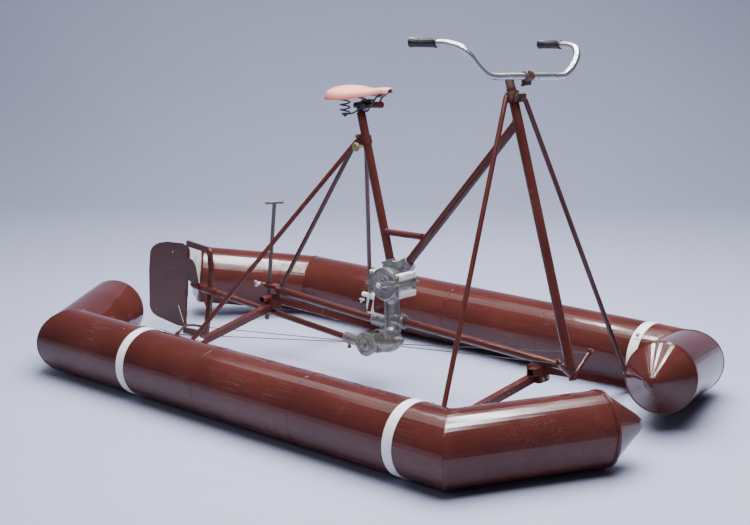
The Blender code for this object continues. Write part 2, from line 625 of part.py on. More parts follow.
def build_rudder():
    post_way = (RUDDER_TOP - RUDDER_FOOT).normalized()
    height = (RUDDER_TOP - RUDDER_FOOT).length
    back = Vector((-post_way.z, 0, post_way.x))
    # Plate outline in metres from the lower front corner. Columns: reach aft, height up the stock
    outline = [(0.000, 0.012), (0.014, 0.008), (0.017, -0.014), (0.040, -0.019), (0.184, -0.016), (0.210, -0.010),
               (0.228, 0.002), (0.237, 0.018), (0.241, 0.065), (0.250, 0.180), (0.247, 0.262), (0.236, 0.284),
               (0.216, 0.301), (0.190, 0.316), (0.144, 0.332), (0.038, 0.351), (0.000, 0.341)]
    points = [RUDDER_FOOT + back * aft + post_way * up for aft, up in outline]
    plate = plate_mesh(points, Vector((0, 1, 0)), 0.004)
    stock = turned_mesh(((0.004, 0.0065), (height - 0.006, 0.0065)), RUDDER_FOOT, post_way, 14)
    blade = fused("rudder_blade", [plate, stock], PAINT)
    hole = RUDDER_FOOT + back * 0.100 + post_way * 0.297
    cut(blade, [turned_mesh(((-0.01, 0.004), (0.01, 0.004)), hole, Vector((0, 1, 0)), 12)])
    collar = turned_mesh(((-0.010, 0.010), (0.0035, 0.010)), RUDDER_FOOT, post_way, 14)
    arms = []
    for side in (-1, 1):
        corners = [RUDDER_FOOT + Vector(p) for p in ((0.006, 0, -0.004), (0.020, side * 0.030, -0.006),
                                                     (0.048, side * TILLER_REACH, -0.022))]
        arms.append(tube_mesh(rounded_path(corners, 0.012, 3), 0.0055, 10))
    tiller = fused("rudder_tiller", [collar, *arms], PAINT)
    for made in (blade, tiller):
        pivot_at(made, RUDDER_FOOT)


def build_lift_rod():
    rod_way = (ROD_TOP - ROD_FOOT).normalized()
    length = (ROD_TOP - ROD_FOOT).length
    rod = turned_mesh(((0, ROD_R + 0.001), (0.022, ROD_R + 0.001), (0.024, ROD_R), (length, ROD_R)),
                      ROD_FOOT, rod_way, 12)
    grip = tube_mesh([ROD_TOP + Vector((-0.020, -0.030, 0.0)), ROD_TOP + Vector((0.020, 0.030, 0.0))], 0.0065, 12)
    made = fused("lift_rod", [rod, grip], STEEL)
    pivot_at(made, ROD_FOOT)
    guide_at = ROD_FOOT + rod_way * 0.150
    guide = turned_mesh(((-0.013, 0.0145), (0.013, 0.0145)), guide_at, rod_way, 16)
    arm = box_mesh((-0.712, -0.006, guide_at.z - 0.006), (-0.6412, ROD_Y + 0.005, guide_at.z + 0.006), 0.002)
    wing = turned_mesh(((0.010, 0.005), (0.032, 0.005), (0.033, 0.008), (0.036, 0.008)), guide_at,
                       Vector((-0.8, -0.6, 0)), 10)
    bracket = fused("lift_bracket", [guide, arm, wing], CAST)
    clear = ROD_R + 0.0012
    cut(bracket, [turned_mesh(((-0.1, clear), (0.1, clear)), guide_at, rod_way, 16)])


def build_steering():
    post_way = (POST_TOP - POST_FOOT).normalized()
    foot = POST_FOOT - post_way * 0.030
    top = POST_TOP + post_way * 0.012
    column = add_object("steering_column", tube_mesh([foot + post_way * 0.0153, top], COLUMN_R, 18), STEEL)
    bar_centre = Vector((0.593, 0, 1.219))
    bend = POST_TOP + post_way * 0.040
    sleeve = turned_mesh(((0.0015, 0.0155), (0.030, 0.0155), (0.042, 0.012)), POST_TOP, post_way, 20)
    neck_path = [bend - post_way * 0.010, bend + Vector((0.006, 0, 0.006)),
                 bar_centre + Vector((-0.010, 0, -0.001))]
    neck = tube_mesh(neck_path, 0.0105, 16)
    clamp = turned_mesh(((-0.020, 0.0175), (0.020, 0.0175)), bar_centre, Vector((0, 1, 0)), 20)
    lug_low, lug_high = bar_centre + Vector((-0.008, -0.014, -0.030)), bar_centre + Vector((0.008, 0.014, -0.010))
    lug = box_mesh(lug_low, lug_high, 0.002)
    stem = fused("stem", [sleeve, neck, clamp, lug], CAST_BROWN)
    cut(stem, [turned_mesh(((-0.01, COLUMN_R + GAP), (0.0124, COLUMN_R + GAP)), POST_TOP, post_way, 20)])
    bar_way = Vector((0, cos(BAR_ROLL), sin(BAR_ROLL)))
    cut(stem, [turned_mesh(((-0.1, BAR_R + 2 * GAP), (0.1, BAR_R + 2 * GAP)), bar_centre, bar_way, 20)])
    # Half of the bar from the clamp out to the grip's end. Columns: x, y, z
    half = ((0.593, 0.110, 1.219), (0.593, 0.190, 1.219), (0.591, 0.231, 1.231), (0.587, 0.268, 1.257),
            (0.579, 0.296, 1.287), (0.556, 0.317, 1.311), (0.520, 0.331, 1.321), (0.478, 0.340, 1.321))
    grip_half = ((0.4905, 0.3375, 1.3215), (0.372, 0.352, 1.318))
    roll = Matrix.Translation(bar_centre) @ Matrix.Rotation(BAR_ROLL, 4, "X") @ Matrix.Translation(-bar_centre)
    port = [roll @ Vector(p) for p in half]
    starboard = [roll @ Vector((x, -y, z)) for x, y, z in half]
    path = smooth_path([*reversed(starboard), bar_centre, *port], 4)
    add_object("handlebar", tube_mesh(path, BAR_R, 16), CHROME)
    for name, side in (("starboard", -1), ("port", 1)):
        inner, outer = [roll @ Vector((x, side * y, z)) for x, y, z in grip_half]
        way = (outer - inner).normalized()
        start = roll @ Vector((half[-1][0], side * half[-1][1], half[-1][2])) + way * 0.0015
        length = (outer - start).length
        add_object("grip_" + name, turned_mesh(((0, 0.0155), (0.004, 0.0175), (length - 0.012, 0.0160),
                                                (length - 0.004, 0.0165), (length, 0.012)), start, way, 18), BLACK)
    # Yoke: a bent bar under the foot of the post, one cable on each end
    ends = [foot + Vector((0.004, side * YOKE_REACH, 0.070)) for side in (-1, 1)]
    corner = foot + Vector((0, 0, -0.003))
    path = rounded_path([ends[0], corner, ends[1]], 0.03, 4)
    boss = turned_mesh(((-0.010, 0.015), (0.015, 0.015)), foot, post_way, 18)
    eyes = [turned_mesh(((-0.004, 0.009), (0.012, 0.009)), end, Vector((0, 0, 1)), 12) for end in ends]
    yoke = fused("steering_yoke", [boss, tube_mesh(path, 0.0075, 12), *eyes], PAINT)
    for made in (column, stem, yoke, bpy.data.objects["handlebar"], bpy.data.objects["grip_port"],
                 bpy.data.objects["grip_starboard"]):
        pivot_at(made, POST_TOP)


# Corners of a bar's section with its edges taken off, as shares of its half width and half depth
OCTAGON = ((-1, -0.6), (-0.6, -1), (0.6, -1), (1, -0.6), (1, 0.6), (0.6, 1), (-0.6, 1), (-1, 0.6))
SPINDLE_R = 0.0065


def build_crank():
    arm_way = Vector((cos(CRANK_ANGLE), 0, sin(CRANK_ANGLE)))
    y_way = Vector((0, 1, 0))
    half_axle = CRANK_INNER_Y + 0.012
    parts = [turned_mesh(((-half_axle, 0.0080), (half_axle, 0.0080)), CRANK_AXLE, y_way, 18)]
    for side in (-1, 1):
        way = arm_way * -side
        inner = CRANK_AXLE + y_way * side * CRANK_INNER_Y
        outer = inner + y_way * side * 0.012
        pedal_eye = way * CRANK_ARM
        arm = []
        up = way.cross(y_way)
        for share, half_width in ((-0.085, 0.007), (0.0, 0.0135), (0.4, 0.0085), (0.92, 0.0095), (1.05, 0.005)):
            centre = (inner + outer) / 2 + way * CRANK_ARM * share
            arm.append([centre + up * half_width * a + y_way * 0.006 * b for a, b in OCTAGON])
        parts.append(loft(arm))
        parts.append(turned_mesh(((0, 0.0165), (0.016, 0.0165), (0.019, 0.012)), inner, y_way * side, 18))
        spindle_foot = inner + pedal_eye + y_way * side * 0.004
        parts.append(turned_mesh(((0, SPINDLE_R), (0.124, SPINDLE_R)), spindle_foot, y_way * side, 12))
    crank = fused("crank", parts, ALLOY)
    pivot_at(crank, CRANK_AXLE)
    for name, side in (("starboard", -1), ("port", 1)):
        spindle = CRANK_AXLE + arm_way * -side * CRANK_ARM
        start = CRANK_INNER_Y + 0.012 + 0.005
        low_y, high_y = sorted((side * start, side * (start + PEDAL_LENGTH)))
        blocks = []
        for sign in (1, -1):
            z_low, z_high = sorted((spindle.z + sign * 0.020, spindle.z + sign * PEDAL_HEIGHT / 2))
            blocks.append(box_mesh((spindle.x - PEDAL_DEPTH / 2, low_y, z_low),
                                   (spindle.x + PEDAL_DEPTH / 2, high_y, z_high), 0.003))
        barrel = turned_mesh(((start, 0.011), (start + PEDAL_LENGTH, 0.011)),
                             Vector((spindle.x, 0, spindle.z)), Vector((0, side, 0)), 16)
        ends = []
        for y in (start + 0.002, start + PEDAL_LENGTH - 0.006):
            near, far = sorted((side * y, side * (y + 0.004)))
            half = PEDAL_HEIGHT / 2 - 0.004
            ends.append(box_mesh((spindle.x - 0.010, near, spindle.z - half),
                                 (spindle.x + 0.010, far, spindle.z + half)))
        made = fused("pedal_" + name, [barrel, *ends, *blocks], ALLOY)
        clear = SPINDLE_R + 0.0010
        cut(made, [turned_mesh(((-0.2, clear), (0.2, clear)), spindle, y_way, 16)])
        pivot_at(made, spindle)


for row in FLOATS:
    build_float(*row)
for row in BEAMS:
    build_beam(*row)
build_hubs()
build_rails()
build_frame()
build_braces()
build_seat()
build_gear()
build_leg()
build_propeller()
build_rudder()
build_lift_rod()
build_steering()
build_crank()
for made in bpy.data.objects:
    made.location.x += CENTRE_SHIFT
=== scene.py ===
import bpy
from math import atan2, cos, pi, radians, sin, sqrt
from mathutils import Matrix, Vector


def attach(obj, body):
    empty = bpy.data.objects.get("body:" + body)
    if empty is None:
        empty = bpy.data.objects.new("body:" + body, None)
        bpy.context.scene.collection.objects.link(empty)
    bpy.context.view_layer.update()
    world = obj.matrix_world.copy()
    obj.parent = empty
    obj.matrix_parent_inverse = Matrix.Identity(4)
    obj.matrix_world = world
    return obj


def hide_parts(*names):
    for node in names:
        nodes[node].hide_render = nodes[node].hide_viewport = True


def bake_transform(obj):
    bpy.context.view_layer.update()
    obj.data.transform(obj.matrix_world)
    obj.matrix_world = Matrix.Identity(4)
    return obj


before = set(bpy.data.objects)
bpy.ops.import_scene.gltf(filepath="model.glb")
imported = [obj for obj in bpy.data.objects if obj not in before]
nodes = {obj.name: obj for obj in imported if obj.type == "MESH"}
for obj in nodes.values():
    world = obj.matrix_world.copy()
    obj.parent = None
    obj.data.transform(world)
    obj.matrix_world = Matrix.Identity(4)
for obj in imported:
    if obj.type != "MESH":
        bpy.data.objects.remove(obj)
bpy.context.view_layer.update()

# %% [markdown]
# A pontoon bike is a pedal boat made like a bicycle: two long floats carry a tube frame with a saddle,
# handlebar, cranks, and a long shaft to a propeller and a rudder. The solid model is already loaded as
# the frame. This lesson dresses it: every solid gets a painted, cast or plated finish, and the pieces
# that a solid model leaves plain, such as the saddle, its springs, the grips and the bolts, are made here.

# %% [markdown]
# The bike was measured from a point midway between the white bands. The model's origin is under the
# middle of its box, a little further aft, so each measured place is moved forward by the same amount.

# %% Places in the model
FORWARD_SHIFT = 0.1727


def at(x, y, z):
    """A measured place, in the model's own coordinates."""
    return Vector((x + FORWARD_SHIFT, y, z))


print("saddle nose at", tuple(round(c, 3) for c in at(-0.028, 0, 1.118)))

# %% [markdown]
# The camera comes first, because every choice after it is judged through it. The photo was taken from
# ahead of the bow on the right-hand side, a little above the handlebar, with a long lens. A camera is
# placed by its three directions: right, up, and the way it looks.

# %% The camera
camera_data = bpy.data.cameras.new("camera")
camera_data.lens = 75.34
camera_data.sensor_width = 36.0
camera_data.clip_end = 60.0
camera = bpy.data.objects.new("camera", camera_data)
bpy.context.scene.collection.objects.link(camera)
camera_place = at(3.810, -4.2285, 1.7153)
look = Vector((-0.6643, 0.7174, -0.2102)).normalized()
right = look.cross(Vector((0, 0, 1))).normalized()
up = right.cross(look)
camera.matrix_world = Matrix.Translation(camera_place) @ Matrix((right, up, -look)).transposed().to_4x4()
bpy.context.scene.camera = camera
print("camera at", tuple(round(c, 2) for c in camera_place), "lens", camera_data.lens)

# %% [markdown]
# The set is a studio sweep: a pale blue-grey floor that curves up into the wall behind. A plane is
# extruded upwards along its far edge, and the fold is rounded with a bevel, so that no corner shows.

# %% Helpers for selecting and finishing


def deselect():
    if bpy.context.object and bpy.context.object.mode != "OBJECT":
        bpy.ops.object.mode_set(mode="OBJECT")
    bpy.ops.object.select_all(action="DESELECT")


def choose(piece):
    """Make one piece the only selected and active one."""
    deselect()
    piece.select_set(True)
    bpy.context.view_layer.objects.active = piece
    return piece


def added(name):
    """Name the piece that an operator has just added."""
    piece = bpy.context.object
    piece.name = name
    piece.data.name = name
    return choose(piece)


def settle(piece):
    """Put a piece's place, turn and size into its mesh, so that its object sits at the origin."""
    choose(piece)
    bpy.ops.object.transform_apply(location=True, rotation=True, scale=True)
    return piece


def select_faces(piece, wanted):
    """Go into edit mode with only the faces selected for which wanted(face) is true."""
    choose(piece)
    bpy.ops.object.mode_set(mode="EDIT")
    bpy.ops.mesh.select_mode(type="FACE")
    bpy.ops.mesh.select_all(action="DESELECT")
    bpy.ops.object.mode_set(mode="OBJECT")
    for face in piece.data.polygons:
        face.select = bool(wanted(face))
    bpy.ops.object.mode_set(mode="EDIT")


def select_points(piece, wanted):
    """Go into edit mode with only the points selected for which wanted(place) is true."""
    choose(piece)
    bpy.ops.object.mode_set(mode="EDIT")
    bpy.ops.mesh.select_mode(type="VERT")
    bpy.ops.mesh.select_all(action="DESELECT")
    bpy.ops.object.mode_set(mode="OBJECT")
    for point in piece.data.vertices:
        point.select = bool(wanted(point.co))
    bpy.ops.object.mode_set(mode="EDIT")


def out_of_edit():
    bpy.ops.object.mode_set(mode="OBJECT")


def modify(piece, kind, **settings):
    """Add one modifier, set it, and apply it."""
    choose(piece)
    modifier = piece.modifiers.new(kind.lower(), kind)
    for label, value in settings.items():
        setattr(modifier, label, value)
    bpy.ops.object.modifier_apply(modifier=modifier.name)
    return piece


def clean_skin(piece):
    """Merge doubled points and turn every face outwards."""
    choose(piece)
    bpy.ops.object.mode_set(mode="EDIT")
    bpy.ops.mesh.select_all(action="SELECT")
    bpy.ops.mesh.remove_doubles(threshold=0.00002)
    bpy.ops.mesh.normals_make_consistent(inside=False)
    bpy.ops.object.mode_set(mode="OBJECT")
    return piece


def smooth(piece, angle=40):
    choose(piece)
    bpy.ops.object.shade_smooth_by_angle(angle=radians(angle))
    return piece


def joined(name, parts):
    """Join finished parts into one piece."""
    deselect()
    for part in parts:
        part.select_set(True)
    bpy.context.view_layer.objects.active = parts[0]
    bpy.ops.object.join()
    return added(name)


def copied(piece, name, move=(0, 0, 0)):
    """A copy with its own mesh, moved to its place."""
    choose(piece)
    bpy.ops.object.duplicate(linked=False)
    twin = bpy.context.object
    twin.name = name
    twin.location = Vector(move)
    return settle(twin)


def facing(direction):
    """The turn that points a primitive's own Z along a direction."""
    return Vector(direction).to_track_quat("Z", "Y").to_euler()


print("helpers ready")

# %% The sweep
SWEEP_HALF = 9.0
SWEEP_CURVE = 2.2


def in_model(point):
    """A set's own coordinates, right and away from the camera, turned to the model's."""
    return point.x * right + point.y * away + point.z * Vector((0, 0, 1))


away = Vector((look.x, look.y, 0)).normalized()
bpy.ops.mesh.primitive_plane_add(size=2 * SWEEP_HALF, location=(0, -3.0, 0))
sweep = added("studio_sweep")
settle(sweep)
select_points(sweep, lambda place: place.y > 0)
bpy.ops.mesh.extrude_region_move(TRANSFORM_OT_translate={"value": (0, 0, 7.0)})
out_of_edit()
fold = [edge for edge in sweep.data.edges
        if all(sweep.data.vertices[i].co.y > 0 and sweep.data.vertices[i].co.z < 0.01 for i in edge.vertices)]
select_points(sweep, lambda place: place.y > 0 and place.z < 0.01)
bpy.ops.mesh.bevel(offset=SWEEP_CURVE, offset_type="OFFSET", segments=24, profile=0.5, affect="EDGES")
out_of_edit()
for point in sweep.data.vertices:
    point.co = in_model(point.co)
smooth(sweep, 60)
print("sweep:", len(sweep.data.polygons), "faces, folded at", len(fold), "edge")

# %% [markdown]
# The studio is lit by a bank of fluorescent tubes under the ceiling. They run across the view, which is
# why the float ends that lie across the view show several parallel bright lines, and the long sides do
# not. Long thin area lights give the lines. Three broad panels and a pale sky give the soft light, and
# two of them are hidden from reflections, so that only the tubes and the ceiling show in the paint.

# %% The lights
TUBE_LENGTH = 3.2
TUBE_WIDTH = 0.05
TUBE_WATTS = 92.0
# Fluorescent tubes. Columns: distance towards the camera from the bike, height
TUBES = ((-1.6, 3.6), (-0.8, 3.6), (0.0, 3.6), (0.8, 3.6), (1.6, 3.6), (2.4, 3.6))
# Broad panels. Columns: name, right, towards the camera, height, width, depth, watts
PANELS = (
    ("overhead_panel", 0.0, -1.6, 4.4, 6.0, 3.0, 110.0),
    ("left_panel", -4.2, 2.4, 2.6, 2.4, 2.0, 24.0),
    ("back_panel", 0.8, -4.6, 4.2, 6.5, 1.6, 112.0),
)


def add_panel(name, across, near, height, width, depth, watts, aim):
    """A rectangular light that looks at a place, with its long side across the view."""
    lamp = bpy.data.lights.new(name, "AREA")
    lamp.shape = "RECTANGLE"
    lamp.size = width
    lamp.size_y = depth
    lamp.energy = watts
    lamp.color = (0.95, 0.97, 1.0)
    holder = bpy.data.objects.new(name, lamp)
    bpy.context.scene.collection.objects.link(holder)
    place = right * across - away * near + Vector((0, 0, height))
    back = (place - aim).normalized()
    side = (right - back * right.dot(back)).normalized()
    holder.matrix_world = Matrix.Translation(place) @ Matrix((side, back.cross(side), back)).transposed().to_4x4()
    return holder


for number, (near, height) in enumerate(TUBES):
    below = -away * near
    add_panel(f"tube_{number}", 0.4, near, height, TUBE_LENGTH, TUBE_WIDTH, TUBE_WATTS, below)
for row in PANELS:
    panel = add_panel(*row, Vector((0, 0, 0.3)))
    panel.visible_glossy = row[0] == "overhead_panel"
world = bpy.data.worlds.new("studio_air")
bpy.context.scene.world = world
world.use_nodes = True
sky = world.node_tree.nodes["Background"]
sky.inputs["Color"].default_value = (0.66, 0.69, 0.82, 1.0)
sky.inputs["Strength"].default_value = 0.13
print("lights:", len(TUBES), "tubes and", len(PANELS), "panels")

# %% [markdown]
# Finishes are node materials. Effects that several finishes share are built once as node groups: wear
# on paint, rust, and the skin of a casting. A group gives out only masks and heights, and each material
# mixes them with its own colours. All patterns read object coordinates, in metres, so that a scratch has
# the same size on a float as on a thin brace.

# %% Helpers for node trees
def place_node(tree, kind, values=None, **settings):
    """Add one node, set its properties, and set or connect its inputs."""
    node = tree.nodes.new(kind)
    for label, value in settings.items():
        setattr(node, label, value)
    for label, value in (values or {}).items():
        if isinstance(value, bpy.types.NodeSocket):
            tree.links.new(value, node.inputs[label])
        else:
            node.inputs[label].default_value = value
    return node


def new_group(name, inputs, outputs):
    """A node group. Inputs have a label, kind and start value, outputs a label and kind."""
    tree = bpy.data.node_groups.new(name, "ShaderNodeTree")
    for label, kind, value in inputs:
        socket = tree.interface.new_socket(name=label, in_out="INPUT", socket_type=kind)
        if value is not None:
            socket.default_value = value
    for label, kind in outputs:
        tree.interface.new_socket(name=label, in_out="OUTPUT", socket_type=kind)
    return tree, tree.nodes.new("NodeGroupInput").outputs, tree.nodes.new("NodeGroupOutput").inputs


def noise(tree, vector, scale, detail=3.0, roughness=0.55):
    return place_node(tree, "ShaderNodeTexNoise", {
        "Vector": vector, "Scale": scale, "Detail": detail, "Roughness": roughness}).outputs["Fac"]


def stretch(tree, value, low, high, out_low=0.0, out_high=1.0):
    """Spread the part of a value between low and high over a new range, and cut off the rest."""
    return place_node(tree, "ShaderNodeMapRange", {
        "Value": value, "From Min": low, "From Max": high, "To Min": out_low, "To Max": out_high}).outputs["Result"]


def calculate(tree, operation, first, second=0.0):
    node = place_node(tree, "ShaderNodeMath", operation=operation)
    for socket, value in zip(node.inputs, (first, second)):
        if isinstance(value, bpy.types.NodeSocket):
            tree.links.new(value, socket)
        else:
            socket.default_value = value
    return node.outputs[0]


def mix_colour(tree, share, first, second):
    node = place_node(tree, "ShaderNodeMix", data_type="RGBA")
    for socket, value in zip((node.inputs[0], node.inputs[6], node.inputs[7]), (share, first, second)):
        if isinstance(value, bpy.types.NodeSocket):
            tree.links.new(value, socket)
        else:
            socket.default_value = value
    return node.outputs[2]


print("node helpers ready")

# %% The wear group: patches, chips and scratches
wear, wear_in, wear_out = new_group(
    "paint_wear",
    [("Vector", "NodeSocketVector", None), ("Chip Amount", "NodeSocketFloat", 0.3),
     ("Scratch Amount", "NodeSocketFloat", 0.4)],
    [("Patches", "NodeSocketFloat"), ("Chips", "NodeSocketFloat"), ("Scratches", "NodeSocketFloat"),
     ("Dust", "NodeSocketFloat"), ("Height", "NodeSocketFloat")])
patches = noise(wear, wear_in["Vector"], 3.5, 5.0, 0.6)
clusters = stretch(wear, noise(wear, wear_in["Vector"], 6.0, 2.0), 0.50, 0.62)
specks = noise(wear, wear_in["Vector"], 130.0, 3.0, 0.6)
chip_edge = calculate(wear, "SUBTRACT", 0.80, calculate(wear, "MULTIPLY", wear_in["Chip Amount"], 0.20))
chips = calculate(wear, "GREATER_THAN", calculate(wear, "MULTIPLY", specks, clusters), chip_edge)
scratch_masks = []
for turn, tilt, cut in ((0.35, 0.1, 0.006), (-0.6, 0.9, 0.005), (1.2, -0.5, 0.004)):
    lined = place_node(wear, "ShaderNodeMapping", {
        "Vector": wear_in["Vector"], "Rotation": (tilt, turn, turn * 0.7), "Scale": (2.4, 70.0, 70.0)})
    lines = noise(wear, lined.outputs["Vector"], 1.0, 1.0, 0.4)
    off_line = calculate(wear, "ABSOLUTE", calculate(wear, "SUBTRACT", lines, 0.53))
    scratch_masks.append(calculate(wear, "LESS_THAN", off_line, cut))
scratched = calculate(wear, "MAXIMUM", calculate(wear, "MAXIMUM", scratch_masks[0], scratch_masks[1]), scratch_masks[2])
where = stretch(wear, noise(wear, wear_in["Vector"], 5.0, 2.0), 0.52, 0.64)
scratches = calculate(wear, "MULTIPLY", calculate(wear, "MULTIPLY", scratched, where), wear_in["Scratch Amount"])
dust = calculate(wear, "MULTIPLY", stretch(wear, noise(wear, wear_in["Vector"], 45.0, 6.0, 0.7), 0.48, 0.75),
                 stretch(wear, patches, 0.40, 0.65))
dents = noise(wear, wear_in["Vector"], 9.0, 1.0, 0.4)
orange_peel = noise(wear, wear_in["Vector"], 160.0, 2.0, 0.5)
height = calculate(wear, "ADD", calculate(wear, "MULTIPLY", dents, 0.9), calculate(wear, "MULTIPLY", orange_peel, 0.05))
wear.links.new(patches, wear_out["Patches"])
wear.links.new(chips, wear_out["Chips"])
wear.links.new(scratches, wear_out["Scratches"])
wear.links.new(dust, wear_out["Dust"])
wear.links.new(calculate(wear, "SUBTRACT", height, calculate(wear, "MULTIPLY", chips, 0.15)), wear_out["Height"])
print("wear group:", len(wear.nodes), "nodes")

# %% The rust group: blooms of several browns, with a rough crust
rust, rust_in, rust_out = new_group(
    "rust_bloom",
    [("Vector", "NodeSocketVector", None), ("Amount", "NodeSocketFloat", 0.3), ("Scale", "NodeSocketFloat", 30.0)],
    [("Mask", "NodeSocketFloat"), ("Colour", "NodeSocketColor"), ("Height", "NodeSocketFloat")])
blooms = noise(rust, rust_in["Vector"], rust_in["Scale"], 5.0, 0.62)
rust_edge = calculate(rust, "SUBTRACT", 0.74, calculate(rust, "MULTIPLY", rust_in["Amount"], 0.40))
rust_mask = stretch(rust, calculate(rust, "SUBTRACT", blooms, rust_edge), 0.0, 0.05)
crust = noise(rust, rust_in["Vector"], 420.0, 4.0, 0.7)
rust_colour = mix_colour(rust, stretch(rust, crust, 0.35, 0.65), (0.055, 0.024, 0.014, 1.0), (0.19, 0.075, 0.030, 1.0))
rust.links.new(rust_mask, rust_out["Mask"])
rust.links.new(rust_colour, rust_out["Colour"])
rust.links.new(calculate(rust, "MULTIPLY", rust_mask, crust), rust_out["Height"])
print("rust group:", len(rust.nodes), "nodes")

# %% The casting group: a pitted sand-cast skin with patches of grime
skin, skin_in, skin_out = new_group(
    "cast_skin",
    [("Vector", "NodeSocketVector", None), ("Grain", "NodeSocketFloat", 180.0)],
    [("Grime", "NodeSocketFloat"), ("Shade", "NodeSocketFloat"), ("Height", "NodeSocketFloat")])
grains = noise(skin, skin_in["Vector"], skin_in["Grain"], 4.0, 0.65)
pits = place_node(skin, "ShaderNodeTexVoronoi", {"Vector": skin_in["Vector"], "Scale": 240.0}).outputs["Distance"]
pit_depth = stretch(skin, pits, 0.0, 0.28, -0.5, 0.0)
grime = stretch(skin, noise(skin, skin_in["Vector"], 26.0, 6.0, 0.7), 0.46, 0.66)
skin.links.new(grime, skin_out["Grime"])
skin.links.new(noise(skin, skin_in["Vector"], 12.0, 3.0), skin_out["Shade"])
skin.links.new(calculate(skin, "ADD", grains, pit_depth), skin_out["Height"])
print("casting group:", len(skin.nodes), "nodes")

# %% [markdown]
# A finish starts as a new material with its own Principled shader, and object coordinates to read.

# %% Starting a finish


def new_finish(name, roughness, metallic=0.0, coat=0.0, coat_roughness=0.1):
    """A material with one Principled shader. Returns the material, its tree, shader and coordinates."""
    finish = bpy.data.materials.new(name)
    finish.use_nodes = True
    tree = finish.node_tree
    shader = tree.nodes["Principled BSDF"]
    shader.inputs["Roughness"].default_value = roughness
    shader.inputs["Metallic"].default_value = metallic
    shader.inputs["Coat Weight"].default_value = coat
    shader.inputs["Coat Roughness"].default_value = coat_roughness
    place = place_node(tree, "ShaderNodeTexCoord").outputs["Object"]
    return finish, tree, shader, place


def group_node(tree, group, values):
    node = tree.nodes.new("ShaderNodeGroup")
    node.node_tree = group
    for label, value in values.items():
        if isinstance(value, bpy.types.NodeSocket):
            tree.links.new(value, node.inputs[label])
        else:
            node.inputs[label].default_value = value
    return node.outputs


def add_bump(tree, shader, height, strength, distance):
    bump = place_node(tree, "ShaderNodeBump", {"Height": height, "Strength": strength, "Distance": distance})
    tree.links.new(bump.outputs["Normal"], shader.inputs["Normal"])


def finish_colour(tree, shader, colour):
    tree.links.new(colour, shader.inputs["Base Color"])


def finish_roughness(tree, shader, value):
    tree.links.new(value, shader.inputs["Roughness"])


print("finish helpers ready")

# %% [markdown]
# The floats and the frame wear one glossy red-brown oxide paint. On the real boat it is scuffed and
# patched: the colour drifts a little, fine scratches show paler, small chips show grey primer, and dust
# dulls the gloss in places. The sheet metal under it isn't quite flat, so the reflections wobble.

# %% The oxide paint
PAINT_MID = (0.086, 0.0200, 0.0155, 1.0)
PAINT_DARK = (0.060, 0.0148, 0.0120, 1.0)
PAINT_WORN = (0.130, 0.056, 0.047, 1.0)
PRIMER = (0.42, 0.40, 0.39, 1.0)


def oxide_paint(name, chips, scratches, gloss, wobble):
    finish, tree, shader, place = new_finish(name, gloss, coat=0.06, coat_roughness=0.05)
    shader.inputs["Specular IOR Level"].default_value = 0.36
    marks = group_node(tree, wear, {"Vector": place, "Chip Amount": chips, "Scratch Amount": scratches})
    drift = stretch(tree, marks["Patches"], 0.35, 0.65)
    colour = mix_colour(tree, drift, PAINT_DARK, PAINT_MID)
    colour = mix_colour(tree, calculate(tree, "MULTIPLY", marks["Dust"], 0.22), colour, PAINT_WORN)
    colour = mix_colour(tree, calculate(tree, "MULTIPLY", marks["Scratches"], 0.55), colour, PRIMER)
    colour = mix_colour(tree, marks["Chips"], colour, PRIMER)
    finish_colour(tree, shader, colour)
    rough = calculate(tree, "ADD", stretch(tree, marks["Patches"], 0.3, 0.7, gloss, gloss + 0.06),
                      calculate(tree, "MULTIPLY", marks["Dust"], 0.16))
    finish_roughness(tree, shader, rough)
    add_bump(tree, shader, marks["Height"], wobble, 0.006)
    return finish


float_paint = oxide_paint("float_paint", 0.18, 0.16, 0.075, 0.05)
frame_paint = oxide_paint("frame_paint", 0.42, 0.10, 0.17, 0.05)
print("paints:", float_paint.name, frame_paint.name)

# %% [markdown]
# The straps round the floats are plain white paint, brushed on and a little grubby at the edges.

# %% The white band paint
band_white, tree, shader, place = new_finish("band_white", 0.35, coat=0.2)
marks = group_node(tree, wear, {"Vector": place, "Chip Amount": 0.45, "Scratch Amount": 0.5})
colour = mix_colour(tree, stretch(tree, marks["Patches"], 0.35, 0.7), (0.86, 0.87, 0.88, 1.0), (0.76, 0.76, 0.75, 1.0))
colour = mix_colour(tree, calculate(tree, "MULTIPLY", marks["Dust"], 0.35), colour, (0.45, 0.40, 0.38, 1.0))
colour = mix_colour(tree, calculate(tree, "MAXIMUM", marks["Chips"], calculate(tree, "MULTIPLY", marks["Scratches"], 0.4)),
                    colour, PAINT_MID)
finish_colour(tree, shader, colour)
finish_roughness(tree, shader, stretch(tree, marks["Patches"], 0.3, 0.7, 0.28, 0.48))
add_bump(tree, shader, marks["Height"], 0.12, 0.004)
print("band finish:", band_white.name)

# %% [markdown]
# The drive housing is bare cast aluminium, silver-grey and dull. Its lower half and the clamps are an
# older, browner casting with oil on it. The same casting skin serves both, with other colours.

# %% The castings


